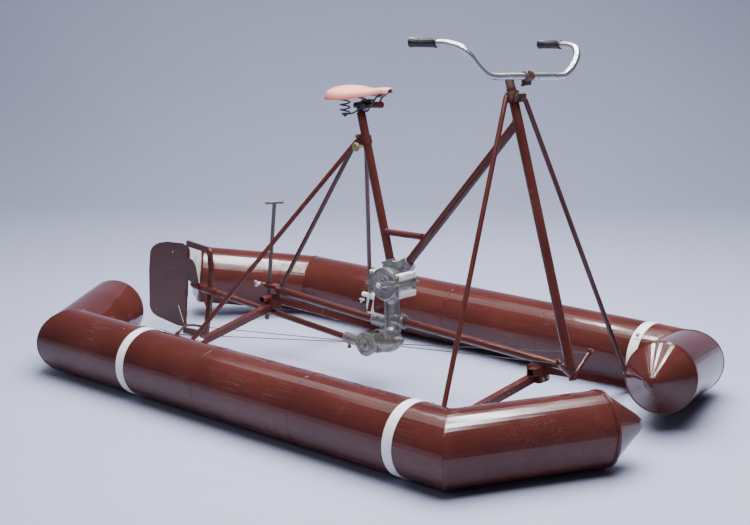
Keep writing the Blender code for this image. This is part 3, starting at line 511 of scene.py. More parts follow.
def casting(name, clean, grimy, rough, metallic, grain, rust_amount):
    finish, tree, shader, place = new_finish(name, rough, metallic=metallic)
    crust = group_node(tree, skin, {"Vector": place, "Grain": grain})
    spots = group_node(tree, rust, {"Vector": place, "Amount": rust_amount, "Scale": 42.0})
    colour = mix_colour(tree, crust["Shade"], clean, [c * 0.8 for c in clean[:3]] + [1.0])
    colour = mix_colour(tree, calculate(tree, "MULTIPLY", crust["Grime"], 0.75), colour, grimy)
    colour = mix_colour(tree, spots["Mask"], colour, spots["Colour"])
    finish_colour(tree, shader, colour)
    finish_roughness(tree, shader, stretch(tree, crust["Grime"], 0.0, 1.0, rough, rough + 0.2))
    metal = calculate(tree, "MULTIPLY", stretch(tree, crust["Grime"], 0.0, 1.0, metallic, metallic * 0.55),
                      stretch(tree, spots["Mask"], 0.0, 1.0, 1.0, 0.15))
    tree.links.new(metal, shader.inputs["Metallic"])
    add_bump(tree, shader, crust["Height"], 0.45, 0.0009)
    return finish


cast_alloy = casting("cast_alloy", (0.43, 0.43, 0.44, 1.0), (0.085, 0.078, 0.072, 1.0), 0.30, 0.85, 190.0, 0.10)
brown_casting = casting("brown_casting", (0.36, 0.335, 0.295, 1.0), (0.060, 0.045, 0.035, 1.0), 0.28, 0.80, 150.0, 0.30)
pedal_alloy = casting("pedal_alloy", (0.90, 0.90, 0.88, 1.0), (0.45, 0.43, 0.39, 1.0), 0.42, 0.15, 260.0, 0.05)
print("castings:", cast_alloy.name, brown_casting.name, pedal_alloy.name)

# %% [markdown]
# The handlebar was chromed. The plating has gone grey and pitted, and rust shows through it on top of
# the left-hand bend. The clamps, the lifting rod and the bolts are darker steel with more of the same.

# %% Plated and bare steel


def steel(name, metal_colour, dull_colour, rough, metallic, rust_amount, rust_scale):
    finish, tree, shader, place = new_finish(name, rough, metallic=metallic)
    marks = group_node(tree, wear, {"Vector": place, "Chip Amount": 0.2, "Scratch Amount": 0.7})
    spots = group_node(tree, rust, {"Vector": place, "Amount": rust_amount, "Scale": rust_scale})
    colour = mix_colour(tree, stretch(tree, marks["Patches"], 0.35, 0.65), metal_colour, dull_colour)
    colour = mix_colour(tree, spots["Mask"], colour, spots["Colour"])
    finish_colour(tree, shader, colour)
    rough_clean = stretch(tree, marks["Patches"], 0.3, 0.7, rough, rough + 0.16)
    finish_roughness(tree, shader, calculate(tree, "ADD", rough_clean, calculate(tree, "MULTIPLY", spots["Mask"], 0.35)))
    tree.links.new(stretch(tree, spots["Mask"], 0.0, 1.0, metallic, 0.1), shader.inputs["Metallic"])
    add_bump(tree, shader, calculate(tree, "ADD", spots["Height"], calculate(tree, "MULTIPLY", marks["Scratches"], -0.1)),
             0.5, 0.0005)
    return finish


bar_chrome = steel("bar_chrome", (0.62, 0.62, 0.64, 1.0), (0.44, 0.44, 0.47, 1.0), 0.22, 0.95, 0.30, 38.0)
dark_steel = steel("dark_steel", (0.150, 0.145, 0.140, 1.0), (0.085, 0.080, 0.075, 1.0), 0.38, 0.70, 0.22, 60.0)
bolt_steel = steel("bolt_steel", (0.34, 0.33, 0.32, 1.0), (0.20, 0.17, 0.15, 1.0), 0.36, 0.80, 0.36, 120.0)
rusty_steel = steel("rusty_steel", (0.19, 0.12, 0.10, 1.0), (0.10, 0.045, 0.035, 1.0), 0.40, 0.60, 0.40, 70.0)
# Pale zinc is bare metal on the bolts, clip, clasp and guard. On the floats' end plates its pale colour is a painted
# reflection of the wall.
pale_zinc_and_painted_reflection = steel("pale_zinc_and_painted_reflection", (0.80, 0.80, 0.77, 1.0), (0.66, 0.65, 0.60, 1.0), 0.42, 0.25, 0.22, 110.0)
cable_wire = steel("cable_wire", (0.11, 0.105, 0.10, 1.0), (0.06, 0.055, 0.05, 1.0), 0.45, 0.60, 0.30, 160.0)
print("steels made")

# %% [markdown]
# The knob on the seat clamp is brass that has gone olive. Springs and saddle wires were stove-enamelled
# black. The grips are moulded black rubber, matt and dusty.

# %% Brass, black enamel and rubber
knob_brass = casting("knob_brass", (0.30, 0.27, 0.12, 1.0), (0.11, 0.11, 0.05, 1.0), 0.46, 0.55, 220.0, 0.05)

spring_black, tree, shader, place = new_finish("spring_black", 0.38)
marks = group_node(tree, wear, {"Vector": place, "Chip Amount": 0.8, "Scratch Amount": 0.6})
spots = group_node(tree, rust, {"Vector": place, "Amount": 0.35, "Scale": 90.0})
colour = mix_colour(tree, marks["Patches"], (0.012, 0.012, 0.015, 1.0), (0.030, 0.030, 0.036, 1.0))
colour = mix_colour(tree, calculate(tree, "MULTIPLY", marks["Dust"], 0.3), colour, (0.16, 0.15, 0.15, 1.0))
colour = mix_colour(tree, spots["Mask"], colour, spots["Colour"])
finish_colour(tree, shader, colour)
finish_roughness(tree, shader, stretch(tree, marks["Dust"], 0.0, 1.0, 0.34, 0.62))
add_bump(tree, shader, spots["Height"], 0.5, 0.0004)

grip_rubber, tree, shader, place = new_finish("grip_rubber", 0.42)
marks = group_node(tree, wear, {"Vector": place, "Chip Amount": 0.1, "Scratch Amount": 0.5})
colour = mix_colour(tree, marks["Patches"], (0.007, 0.007, 0.008, 1.0), (0.014, 0.014, 0.016, 1.0))
colour = mix_colour(tree, calculate(tree, "MULTIPLY", marks["Dust"], 0.16), colour, (0.10, 0.095, 0.09, 1.0))
colour = mix_colour(tree, calculate(tree, "MULTIPLY", marks["Scratches"], 0.4), colour, (0.12, 0.12, 0.12, 1.0))
finish_colour(tree, shader, colour)
finish_roughness(tree, shader, stretch(tree, marks["Dust"], 0.0, 1.0, 0.30, 0.55))
add_bump(tree, shader, noise(tree, place, 900.0, 3.0), 0.25, 0.0003)
print("brass, enamel and rubber made")

# %% [markdown]
# The saddle leather is pale, pinkish tan and polished by use. Its colour darkens towards the lower edge of the skin:
# painted shade, for the sides that turn away from the overhead light.
# Leather grain is small cells with soft creases between them, which a Voronoi pattern gives.

# %% The saddle leather
saddle_leather, tree, shader, place = new_finish("saddle_leather", 0.42)
cells = place_node(tree, "ShaderNodeTexVoronoi", {"Vector": place, "Scale": 620.0}, feature="SMOOTH_F1").outputs["Distance"]
creases = place_node(tree, "ShaderNodeTexVoronoi", {"Vector": place, "Scale": 150.0}, feature="DISTANCE_TO_EDGE")
crease_depth = stretch(tree, creases.outputs["Distance"], 0.0, 0.06, -0.6, 0.0)
tone = noise(tree, place, 16.0, 4.0, 0.6)
height_up = place_node(tree, "ShaderNodeSeparateXYZ", {"Vector": place}).outputs["Z"]
# Painted shade: from a height of 1.112 m down to 1.092 m the leather is mixed up to three quarters towards a darker
# red-brown, for the saddle's lower sides.
lower_side_shade = stretch(tree, height_up, 1.092, 1.112, 0.75, 0.0)
colour = mix_colour(tree, stretch(tree, tone, 0.35, 0.65), (0.72, 0.235, 0.195, 1.0), (0.76, 0.29, 0.25, 1.0))
colour = mix_colour(tree, lower_side_shade, colour, (0.58, 0.17, 0.11, 1.0))
stains = stretch(tree, noise(tree, place, 60.0, 5.0, 0.7), 0.60, 0.74, 0.0, 0.5)
colour = mix_colour(tree, stains, colour, (0.28, 0.13, 0.09, 1.0))
finish_colour(tree, shader, colour)
finish_roughness(tree, shader, stretch(tree, tone, 0.3, 0.7, 0.34, 0.52))
add_bump(tree, shader, calculate(tree, "ADD", cells, crease_depth), 0.30, 0.0006)
print("leather made")

# %% [markdown]
# The studio floor and wall are one matt blue-grey, a shade uneven from foot marks. The paper is clear
# from behind, so that the bike can be looked at from the wall's side too.

# %% The studio paper
studio_paper, tree, shader, place = new_finish("studio_paper", 0.62)
shade = stretch(tree, noise(tree, place, 0.5, 4.0, 0.6), 0.35, 0.65)
finish_colour(tree, shader, mix_colour(tree, shade, (0.362, 0.378, 0.520, 1.0), (0.384, 0.401, 0.546, 1.0)))
from_behind = place_node(tree, "ShaderNodeNewGeometry").outputs["Backfacing"]
clear = place_node(tree, "ShaderNodeBsdfTransparent").outputs["BSDF"]
two_sides = place_node(tree, "ShaderNodeMixShader", {0: from_behind, 1: shader.outputs["BSDF"], 2: clear})
tree.links.new(two_sides.outputs["Shader"], tree.nodes["Material Output"].inputs["Surface"])
sweep.data.materials.append(studio_paper)
print("paper on the sweep")

# %% [markdown]
# Each solid now gets its finish. The solids that take another than the oxide paint are listed; every
# other one is a float or a piece of the frame.

# %% Finishes on the solids
FINISH_OF = {
    "gear_upper": cast_alloy, "gear_column": cast_alloy, "frame_lug": cast_alloy,
    "gear_lower": brown_casting, "leg_knuckle": brown_casting, "rudder_tiller": rusty_steel,
    "head_clamp": rusty_steel, "stem": rusty_steel, "crank": cast_alloy, "pedal_port": pedal_alloy,
    "pedal_starboard": pedal_alloy, "handlebar": bar_chrome, "grip_port": grip_rubber,
    "grip_starboard": grip_rubber, "saddle_springs": spring_black, "brace_knob": knob_brass,
    "saddle": saddle_leather, "seat_pillar": spring_black, "lift_rod": dark_steel, "steering_column": dark_steel,
}
for name, solid in nodes.items():
    if name.startswith("band_"):
        finish = band_white
    elif name.startswith(("hull_", "bow_cone_")):
        finish = float_paint
    else:
        finish = FINISH_OF.get(name, frame_paint)
    for place_in_list in range(len(solid.material_slots)):
        solid.material_slots[place_in_list].material = finish
print("finishes on", len(nodes), "solids")

# %% [markdown]
# New pieces ride on one of the model's bodies, so that they move with it. This helper gives a finished piece its
# material and, when one is named, its body.


def hand_over(piece, finish, body):
    piece.data.materials.clear()
    piece.data.materials.append(finish)
    if body:
        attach(piece, body)
    return piece


# %% [markdown]
# Rods, wires and bolts recur all over the bike. A rod is a cylinder primitive set along its line with its
# end edges bevelled. A bent wire is a curve through points with a round section, turned into a mesh.

# %% Rods and wires


def rod(name, start, end, radius, sides=20, round_ends=0.0, end_radius=None):
    """A round bar from start to end. A second radius makes it taper."""
    start, end = Vector(start), Vector(end)
    way = end - start
    if end_radius is None:
        bpy.ops.mesh.primitive_cylinder_add(vertices=sides, radius=radius, depth=way.length,
                                            location=(start + end) / 2, rotation=facing(way))
    else:
        bpy.ops.mesh.primitive_cone_add(vertices=sides, radius1=radius, radius2=end_radius, depth=way.length,
                                        location=(start + end) / 2, rotation=facing(way))
    bar = added(name)
    if round_ends:
        modify(bar, "BEVEL", width=round_ends, segments=2, limit_method="ANGLE", angle_limit=radians(50))
    return settle(bar)


def bent_wire(name, points, radius, closed=False, sides=3, smooth_path=False):
    """A wire of round section through a row of points."""
    deselect()
    bpy.ops.curve.primitive_nurbs_path_add(radius=1.0, location=(0, 0, 0))
    curve = added(name)
    curve.data.splines.clear()
    spline = curve.data.splines.new("NURBS" if smooth_path else "POLY")
    spline.points.add(len(points) - 1)
    for knot, place in zip(spline.points, points):
        knot.co = (*place, 1.0)
    spline.use_cyclic_u = closed
    if smooth_path:
        spline.order_u = 3
        spline.use_endpoint_u = True
        spline.resolution_u = 4
    curve.data.dimensions = "3D"
    curve.data.bevel_depth = radius
    curve.data.bevel_resolution = sides
    curve.data.use_fill_caps = not closed
    bpy.ops.object.convert(target="MESH")
    wire = clean_skin(added(name))
    return smooth(wire, 60)


def block(name, centre, size, bevel=0.0, turn=(0, 0, 0)):
    """A bevelled bar of metal at a place."""
    bpy.ops.mesh.primitive_cube_add(size=1.0, location=centre, rotation=turn)
    bar = added(name)
    bar.scale = size
    settle(bar)
    if bevel:
        modify(bar, "BEVEL", width=bevel, segments=2, limit_method="ANGLE", angle_limit=radians(40))
    return bar


print("rod and wire helpers ready")

# %% [markdown]
# A bolt is a six-sided head on a round washer, with a stub of thread below. A wing screw has a round boss
# and two flat ears: each ear is a ball squeezed flat, stretched outwards and tilted.

# %% Bolts and wing screws


def bolt(name, place, out, across=0.012, shank=0.0):
    """A hexagon head on a washer that stands out from a surface, with an optional shank the other way."""
    place, out = Vector(place), Vector(out).normalized()
    radius = across / 2 / cos(pi / 6)
    parts = [rod(name + "_washer", place, place + out * across * 0.12, across * 0.66, 20),
             rod(name + "_head", place + out * across * 0.12, place + out * across * 0.62, radius, 6, across * 0.05)]
    if shank:
        parts.append(rod(name + "_shank", place + out * across * 0.1, place - out * shank, across * 0.27, 12))
    return smooth(joined(name, parts), 30)


def wing_screw(name, place, out, span=0.034, ear_way=(0, 0, 1)):
    """A thumb screw with two ears, its boss standing out along a direction."""
    place, out = Vector(place), Vector(out).normalized()
    ear_way = (Vector(ear_way) - out * Vector(ear_way).dot(out)).normalized()
    parts = [rod(name + "_boss", place, place + out * span * 0.38, span * 0.17, 16, span * 0.04)]
    for sign in (-1, 1):
        lean = (ear_way * sign + out * 0.55).normalized()
        flat = out.cross(ear_way)
        middle = place + out * span * 0.30 + lean * span * 0.28
        bpy.ops.mesh.primitive_uv_sphere_add(segments=16, ring_count=10, radius=1.0)
        ear = added(f"{name}_ear_{sign}")
        ear.matrix_world = Matrix.Translation(middle) @ Matrix(
            (lean * span * 0.26, lean.cross(flat) * span * 0.17, flat * span * 0.055)).transposed().to_4x4()
        parts.append(settle(ear))
    return smooth(clean_skin(joined(name, parts)), 50)


print("bolt and wing screw helpers ready")

# %% [markdown]
# The frame tubes are brazed and welded where they meet, and a rounded bead of filler runs round each
# joint. The bead's path is where one tube's surface meets the other's: for each point round the first
# tube, a straight line along it is followed until it meets the second tube's surface.

# %% Welded joints


def meeting_line(start, way, radius, other, other_way, other_radius, steps=28, last=False):
    """The closed line where one tube runs into another. Both are given by a place, direction and radius."""
    way, other_way = Vector(way).normalized(), Vector(other_way).normalized()
    side = way.orthogonal().normalized()
    over = way.cross(side)
    flat_way = way - other_way * way.dot(other_way)
    line = []
    for step in range(steps):
        turn = 2 * pi * step / steps
        foot = Vector(start) + (side * cos(turn) + over * sin(turn)) * radius
        gap = foot - Vector(other)
        gap -= other_way * gap.dot(other_way)
        a, b, c = flat_way.dot(flat_way), 2 * gap.dot(flat_way), gap.dot(gap) - other_radius ** 2
        reach = b * b - 4 * a * c
        if reach < 0:
            return []
        line.append(foot + way * ((-b + sqrt(reach)) if last else (-b - sqrt(reach))) / (2 * a))
    return line


def bead(name, line, thickness, finish=frame_paint, body="boat", seed=1):
    """A weld bead along a closed line, with small uneven lumps."""
    made = bent_wire(name, line, thickness, closed=True, sides=2)
    choose(made)
    bpy.ops.object.mode_set(mode="EDIT")
    bpy.ops.mesh.select_all(action="SELECT")
    bpy.ops.transform.vertex_random(offset=thickness * 0.22, uniform=0.6, normal=0.4, seed=seed)
    bpy.ops.object.mode_set(mode="OBJECT")
    smooth(made, 70)
    return hand_over(made, finish, body)


seat_top, seat_foot = at(-0.177, 0, 1.037), at(-0.026, 0, 0.490)
down_top, down_foot = at(0.535, 0, 1.038), at(0.083, 0, 0.524)
post_top, post_foot = at(0.524, 0, 1.174), at(0.8024, 0, 0.2397)
strut_rear, strut_front = at(-0.066, 0, 0.601), at(0.131, 0, 0.606)
strut_middle = (strut_rear + strut_front) / 2
FRAME_RADIUS = 0.0165
POST_RADIUS = 0.0170
STRUT_RADIUS = 0.0125
RAIL_RADIUS = 0.0145
welds = {
    "weld_strut_seat": meeting_line(strut_middle, strut_rear - strut_middle, STRUT_RADIUS, seat_foot,
                                    seat_top - seat_foot, FRAME_RADIUS),
    "weld_strut_down": meeting_line(strut_middle, strut_front - strut_middle, STRUT_RADIUS, down_foot,
                                    down_top - down_foot, FRAME_RADIUS),
    "weld_down_post": meeting_line(down_foot, down_top - down_foot, FRAME_RADIUS, post_foot,
                                   post_top - post_foot, POST_RADIUS),
    "weld_rail_post": meeting_line(at(0.3, 0, 0.2614), at(0.785, 0, 0.241) - at(0.3, 0, 0.2614), RAIL_RADIUS,
                                   post_foot, post_top - post_foot, POST_RADIUS),
}
for number, (name, line) in enumerate(welds.items()):
    bead(name, line, 0.0028, seed=number + 3)
print("frame welds:", len(welds))

# %% [markdown]
# The floats are rolled sheet steel, welded at their mitred elbows and at rings along their length. An
# elbow's seam is the oval where two equal tubes meet: a circle of the tube's radius, slanted so that it
# lies halfway between the two directions.

# %% Seams on the floats
FLOAT_RADIUS = 0.125
FLOAT_HEIGHT = 0.1268
FLOAT_SIDE = 0.674
# Floats. Columns: side name, side sign, roll, bow elbow x, bow angle, bow length, stern elbow x, stern angle
FLOAT_ROWS = (
    ("starboard", -1, 0.5, 0.830, 64, 0.528, -1.085, 56),
    ("port", 1, 8.5, 0.842, 70, 0.425, -1.115, 52),
)


def ring_on(centre, way, cut_way, radius, steps=72):
    """The line where a tube is cut by a plane that faces along cut_way."""
    way, cut_way = Vector(way).normalized(), Vector(cut_way).normalized()
    side = way.orthogonal().normalized()
    over = way.cross(side)
    line = []
    for step in range(steps):
        turn = 2 * pi * step / steps
        spoke = (side * cos(turn) + over * sin(turn)) * radius
        line.append(Vector(centre) + spoke - way * spoke.dot(cut_way) / way.dot(cut_way))
    return line


seams = 0
ahead = Vector((1, 0, 0))
for side_name, side, roll, bow_x, bow_angle, bow_length, stern_x, stern_angle in FLOAT_ROWS:
    ways = {}
    for end, sign, angle in (("bow", 1, bow_angle), ("stern", -1, stern_angle)):
        lean, rolled = radians(angle), radians(roll)
        ways[end] = Vector((sign * cos(lean), -side * sin(lean) * cos(rolled), sin(lean) * sin(rolled)))
    for end, x in (("bow", bow_x), ("stern", stern_x)):
        centre = at(x, side * FLOAT_SIDE, FLOAT_HEIGHT)
        cut_way = (ahead + ways[end] if end == "bow" else ahead - ways[end]).normalized()
        bead(f"seam_elbow_{end}_{side_name}", ring_on(centre, ahead, cut_way, FLOAT_RADIUS + 0.0004), 0.0017,
             float_paint, seed=seams + 11)
        seams += 1
    for number, x in enumerate((-0.245, 0.235)):
        centre = at(x, side * FLOAT_SIDE, FLOAT_HEIGHT)
        bead(f"seam_ring_{number}_{side_name}", ring_on(centre, ahead, ahead, FLOAT_RADIUS + 0.0001), 0.0010,
             float_paint, seed=seams + 11)
        seams += 1
    rim = at(bow_x, side * FLOAT_SIDE, FLOAT_HEIGHT) + ways["bow"] * (bow_length - 0.004)
    bead(f"seam_rim_{side_name}", ring_on(rim, ways["bow"], ways["bow"], FLOAT_RADIUS + 0.0008), 0.0022,
         float_paint, seed=seams + 11)
    seams += 1
print("float seams:", seams)

# %% [markdown]
# The saddle is a leather top stretched over a wide, short frame. It starts as a flat grid. Its rows are
# made narrow or wide and raised or lowered one at a time, its sides are folded down into a skirt, and a
# second skin gives the leather its thickness. Subdivision rounds it all.

# %% The saddle
# Rows from the tail to the nose. Columns: x, half width, height of the middle line
SADDLE_ROWS = (
    (-0.302, 0.056, 1.113), (-0.288, 0.086, 1.126), (-0.262, 0.103, 1.1325), (-0.228, 0.104, 1.134),
    (-0.192, 0.090, 1.133), (-0.155, 0.062, 1.1305), (-0.122, 0.040, 1.1295), (-0.090, 0.029, 1.133),
    (-0.058, 0.026, 1.138), (-0.036, 0.022, 1.138), (-0.0285, 0.015, 1.1345),
)
# Across the saddle from the middle. Columns: share of the half width, drop of the skin below the middle
SADDLE_ARCH = ((0.0, 0.0), (0.30, 0.0015), (0.58, 0.0055), (0.82, 0.0135), (0.97, 0.027), (1.0, 0.048))
COLUMNS = 2 * len(SADDLE_ARCH) - 1

deselect()
bpy.ops.mesh.primitive_grid_add(x_subdivisions=len(SADDLE_ROWS) - 1, y_subdivisions=COLUMNS - 1, size=2.0)
saddle = settle(added("saddle_leather_top"))
row_step = 2.0 / (len(SADDLE_ROWS) - 1)
column_step = 2.0 / (COLUMNS - 1)
for number in range(COLUMNS):
    from_middle = number - (COLUMNS - 1) // 2
    share, drop = SADDLE_ARCH[abs(from_middle)]
    y_now = from_middle * column_step
    select_points(saddle, lambda place: abs(place.y - y_now) < 0.01 and place.z > -0.001)
    bpy.ops.transform.translate(value=(0, (share if from_middle > 0 else -share) * 10 - y_now, -drop))
out_of_edit()
for number, (x, half, middle) in enumerate(SADDLE_ROWS):
    x_now = -1.0 + number * row_step
    select_points(saddle, lambda place: abs(place.x - x_now) < 0.01)
    bpy.ops.transform.resize(value=(1, half / 10, 1), center_override=(0, 0, 0))
    fall = min(1.0, 0.30 + half / 0.13)
    bpy.ops.transform.resize(value=(1, 1, fall), center_override=(0, 0, 0))
    bpy.ops.transform.translate(value=(20 + x + FORWARD_SHIFT - x_now, 0, middle))
    out_of_edit()
for point in saddle.data.vertices:
    point.co.x -= 20
modify(saddle, "SOLIDIFY", thickness=0.0042, offset=-1.0)
clean_skin(saddle)
modify(saddle, "SUBSURF", levels=2, render_levels=2)
smooth(saddle, 180)
hand_over(saddle, saddle_leather, "boat")
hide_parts("saddle")
print("saddle:", len(saddle.data.polygons), "faces", [round(side, 3) for side in saddle.dimensions])

# %% [markdown]
# Under the saddle's nose sits a folded black steel plate that the leather is riveted to, and two rivets
# hold the tail. They are small, but they show from below and from the front.

# %% Nose plate and rivets
nose_plate = block("saddle_nose_plate", at(-0.056, 0, 1.1120), (0.040, 0.034, 0.0035), 0.001, (0, -0.62, 0))
select_faces(nose_plate, lambda face: face.normal.x > 0.8)
bpy.ops.mesh.extrude_region_move(TRANSFORM_OT_translate={"value": (-0.002, 0, -0.006)})
out_of_edit()
hand_over(clean_skin(nose_plate), rusty_steel, "boat")
tail_plate = block("saddle_tail_plate", at(-0.262, 0, 1.1115), (0.030, 0.150, 0.0035), 0.001)
hand_over(tail_plate, spring_black, "boat")
rivets = [rod(f"rivet_{number}", at(x, y, z), at(x, y, z + 0.0022), 0.0050, 16, 0.0008)
          for number, (x, y, z) in enumerate(((-0.291, 0.030, 1.1232), (-0.291, -0.030, 1.1232),
                                              (-0.047, 0.0, 1.1385)))]
hand_over(smooth(joined("saddle_rivets", rivets)), bolt_steel, "boat")
print("plates and rivets made")

# %% [markdown]
# Two coil springs carry the tail. A coil is one small circle swept round and up: the Screw modifier
# does it. Bent black wires run from the coils' feet to the clamp, and from the clamp up to the nose.

# %% Coil springs and saddle wires
COIL_RADIUS = 0.0175
COIL_WIRE = 0.0030
COIL_TURNS = 3
COIL_FOOT = 1.034
COIL_HEIGHT = 0.058


def coil(name, x, y):
    deselect()
    bpy.ops.mesh.primitive_circle_add(vertices=10, radius=COIL_WIRE, fill_type="NGON",
                                      location=(COIL_RADIUS, 0, 0), rotation=(pi / 2, 0, 0))
    spring = settle(added(name))
    modify(spring, "SCREW", angle=2 * pi * COIL_TURNS, screw_offset=COIL_HEIGHT, steps=24 * COIL_TURNS,
           render_steps=24 * COIL_TURNS, axis="Z", use_merge_vertices=True)
    spring.location = at(x, y, COIL_FOOT)
    return smooth(clean_skin(settle(spring)), 60)


spring_parts = []
for side_name, side in (("starboard", -1), ("port", 1)):
    spring_parts.append(coil("coil_" + side_name, -0.214, side * 0.046))
    foot = at(-0.214 + COIL_RADIUS, side * 0.046, COIL_FOOT)
    spring_parts.append(bent_wire("coil_wire_" + side_name, [
        foot, foot + Vector((0.008, -side * 0.002, -0.001)), at(-0.172, side * 0.036, 1.040),
        at(-0.158, side * 0.026, 1.056), at(-0.140, side * 0.018, 1.061), at(-0.118, side * 0.016, 1.062)],
        0.0034, smooth_path=True))
    spring_parts.append(bent_wire("nose_wire_" + side_name, [
        at(-0.150, side * 0.017, 1.067), at(-0.118, side * 0.017, 1.066), at(-0.102, side * 0.018, 1.072),
        at(-0.092, side * 0.019, 1.090), at(-0.078, side * 0.017, 1.105), at(-0.056, side * 0.012, 1.115)],
        0.0036, smooth_path=True))
    cap_at = at(-0.214, side * 0.046, COIL_FOOT + COIL_HEIGHT)
    spring_parts.append(rod("coil_cap_" + side_name, cap_at, cap_at + Vector((0, 0, 0.004)), 0.019, 24, 0.001))
    foot_at = at(-0.214, side * 0.046, COIL_FOOT - 0.006)
    spring_parts.append(rod("coil_foot_" + side_name, foot_at, foot_at + Vector((0, 0, 0.007)), 0.0125, 20, 0.001))
    spring_parts.append(bolt("coil_bolt_" + side_name, foot_at, (0, 0, -1), 0.010))
spring_parts.append(bent_wire("tail_wire", [
    at(-0.214, -0.046, 1.096), at(-0.236, -0.046, 1.099), at(-0.250, -0.030, 1.101), at(-0.252, 0, 1.102),
    at(-0.250, 0.030, 1.101), at(-0.236, 0.046, 1.099), at(-0.214, 0.046, 1.096)], 0.0034, smooth_path=True))
springs = joined("saddle_spring_set", spring_parts)
hand_over(springs, spring_black, "boat")
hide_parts("saddle_springs")
clamp_bolts = [bolt("clamp_bolt", at(-0.1395, y, 1.0635), (0, sign, 0), 0.016) for y, sign in ((0.0245, 1), (-0.0245, -1))]
clamp_bolts.append(block("clamp_plate_upper", at(-0.140, 0, 1.083), (0.034, 0.044, 0.006), 0.0015))
hand_over(joined("saddle_clamp_bolts", clamp_bolts), spring_black, "boat")
arm_cap = rod("pillar_arm_cap", at(-0.112, 0, 1.0685), at(-0.070, 0, 1.0720), 0.0118, 24, 0.0015)
hand_over(smooth(arm_cap), frame_paint, "boat")
print("springs:", len(springs.data.polygons), "faces")

# %% [markdown]
# The grips are moulded rubber sleeves with shallow flutes along them and a rounded flange at each end.
# A cylinder is made with many sides, its length is divided, and every other pair of edges is pulled in.

# %% The grips
BAR_CENTRE = at(0.593, 0, 1.219)
BAR_ROLL = radians(-3.6)
# Outlines of a grip along its length. Columns: distance from the start, radius
GRIP_PROFILE = ((0.0, 0.0140), (0.003, 0.0166), (0.008, 0.0168), (0.012, 0.0154), (0.060, 0.0152),
                (0.094, 0.0158), (0.099, 0.0176), (0.104, 0.0174), (0.107, 0.0130))
FLUTES = 14


def grip(name, start, way):
    """A fluted sleeve: a cylinder stretched ring by ring to the profile, with its flutes pulled in."""
    sides = FLUTES * 4
    bpy.ops.mesh.primitive_cylinder_add(vertices=sides, radius=1.0, depth=1.0, location=(0, 0, 0.5))
    sleeve = settle(added(name))
    for number in range(1, len(GRIP_PROFILE) - 1):
        choose(sleeve)
        bpy.ops.object.mode_set(mode="EDIT")
        bpy.ops.mesh.select_all(action="SELECT")
        bpy.ops.mesh.bisect(plane_co=(0, 0, number / (len(GRIP_PROFILE) - 1)), plane_no=(0, 0, 1))
        out_of_edit()
    for number, (along, radius) in enumerate(GRIP_PROFILE):
        level = number / (len(GRIP_PROFILE) - 1)
        select_points(sleeve, lambda place: abs(place.z - level) < 0.01)
        bpy.ops.transform.resize(value=(radius, radius, 1), center_override=(0, 0, 0))
        bpy.ops.transform.translate(value=(0, 0, 10 + along - level))
        out_of_edit()
    for point in sleeve.data.vertices:
        point.co.z -= 10
    pulled = {step for step in range(sides) if step % 4 in (0, 1)}

    def in_flute(place):
        step = round(atan2(place.y, place.x) / (2 * pi / sides)) % sides
        return step in pulled and 0.011 < place.z < 0.0975

    select_points(sleeve, in_flute)
    bpy.ops.transform.resize(value=(0.93, 0.93, 1), center_override=(0, 0, 0))
    out_of_edit()
    sleeve.matrix_world = Matrix.Translation(start) @ Vector(way).to_track_quat("Z", "Y").to_matrix().to_4x4()
    return smooth(settle(sleeve), 35)


bar_roll = Matrix.Translation(BAR_CENTRE) @ Matrix.Rotation(BAR_ROLL, 4, "X") @ Matrix.Translation(-BAR_CENTRE)
for side_name, side in (("starboard", -1), ("port", 1)):
    inner = bar_roll @ at(0.4905, side * 0.3375, 1.3215)
    outer = bar_roll @ at(0.372, side * 0.352, 1.318)
    bar_end = bar_roll @ at(0.478, side * 0.340, 1.321)
    way = (outer - inner).normalized()
    sleeve = grip("rubber_grip_" + side_name, bar_end + way * 0.0010, way)
    hand_over(sleeve, grip_rubber, "steering")
    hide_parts("grip_" + side_name)
    print("grip", side_name, len(sleeve.data.polygons), "faces")

# %% [markdown]
# The pedals are old block pedals: two ribbed rubber-faced blocks, gone white with age, held between two
# end plates on a barrel. One slat is a cube with bevelled edges; the Array modifier repeats it along the
# block to make the ribs, and a thinner core fills the gaps between them.

# %% The pedals
CRANK_AXLE = at(-0.020, 0, 0.414)
CRANK_ARM = 0.182
CRANK_ANGLE = radians(12)
PEDAL_START = 0.073
PEDAL_LENGTH = 0.100
SLATS = 8


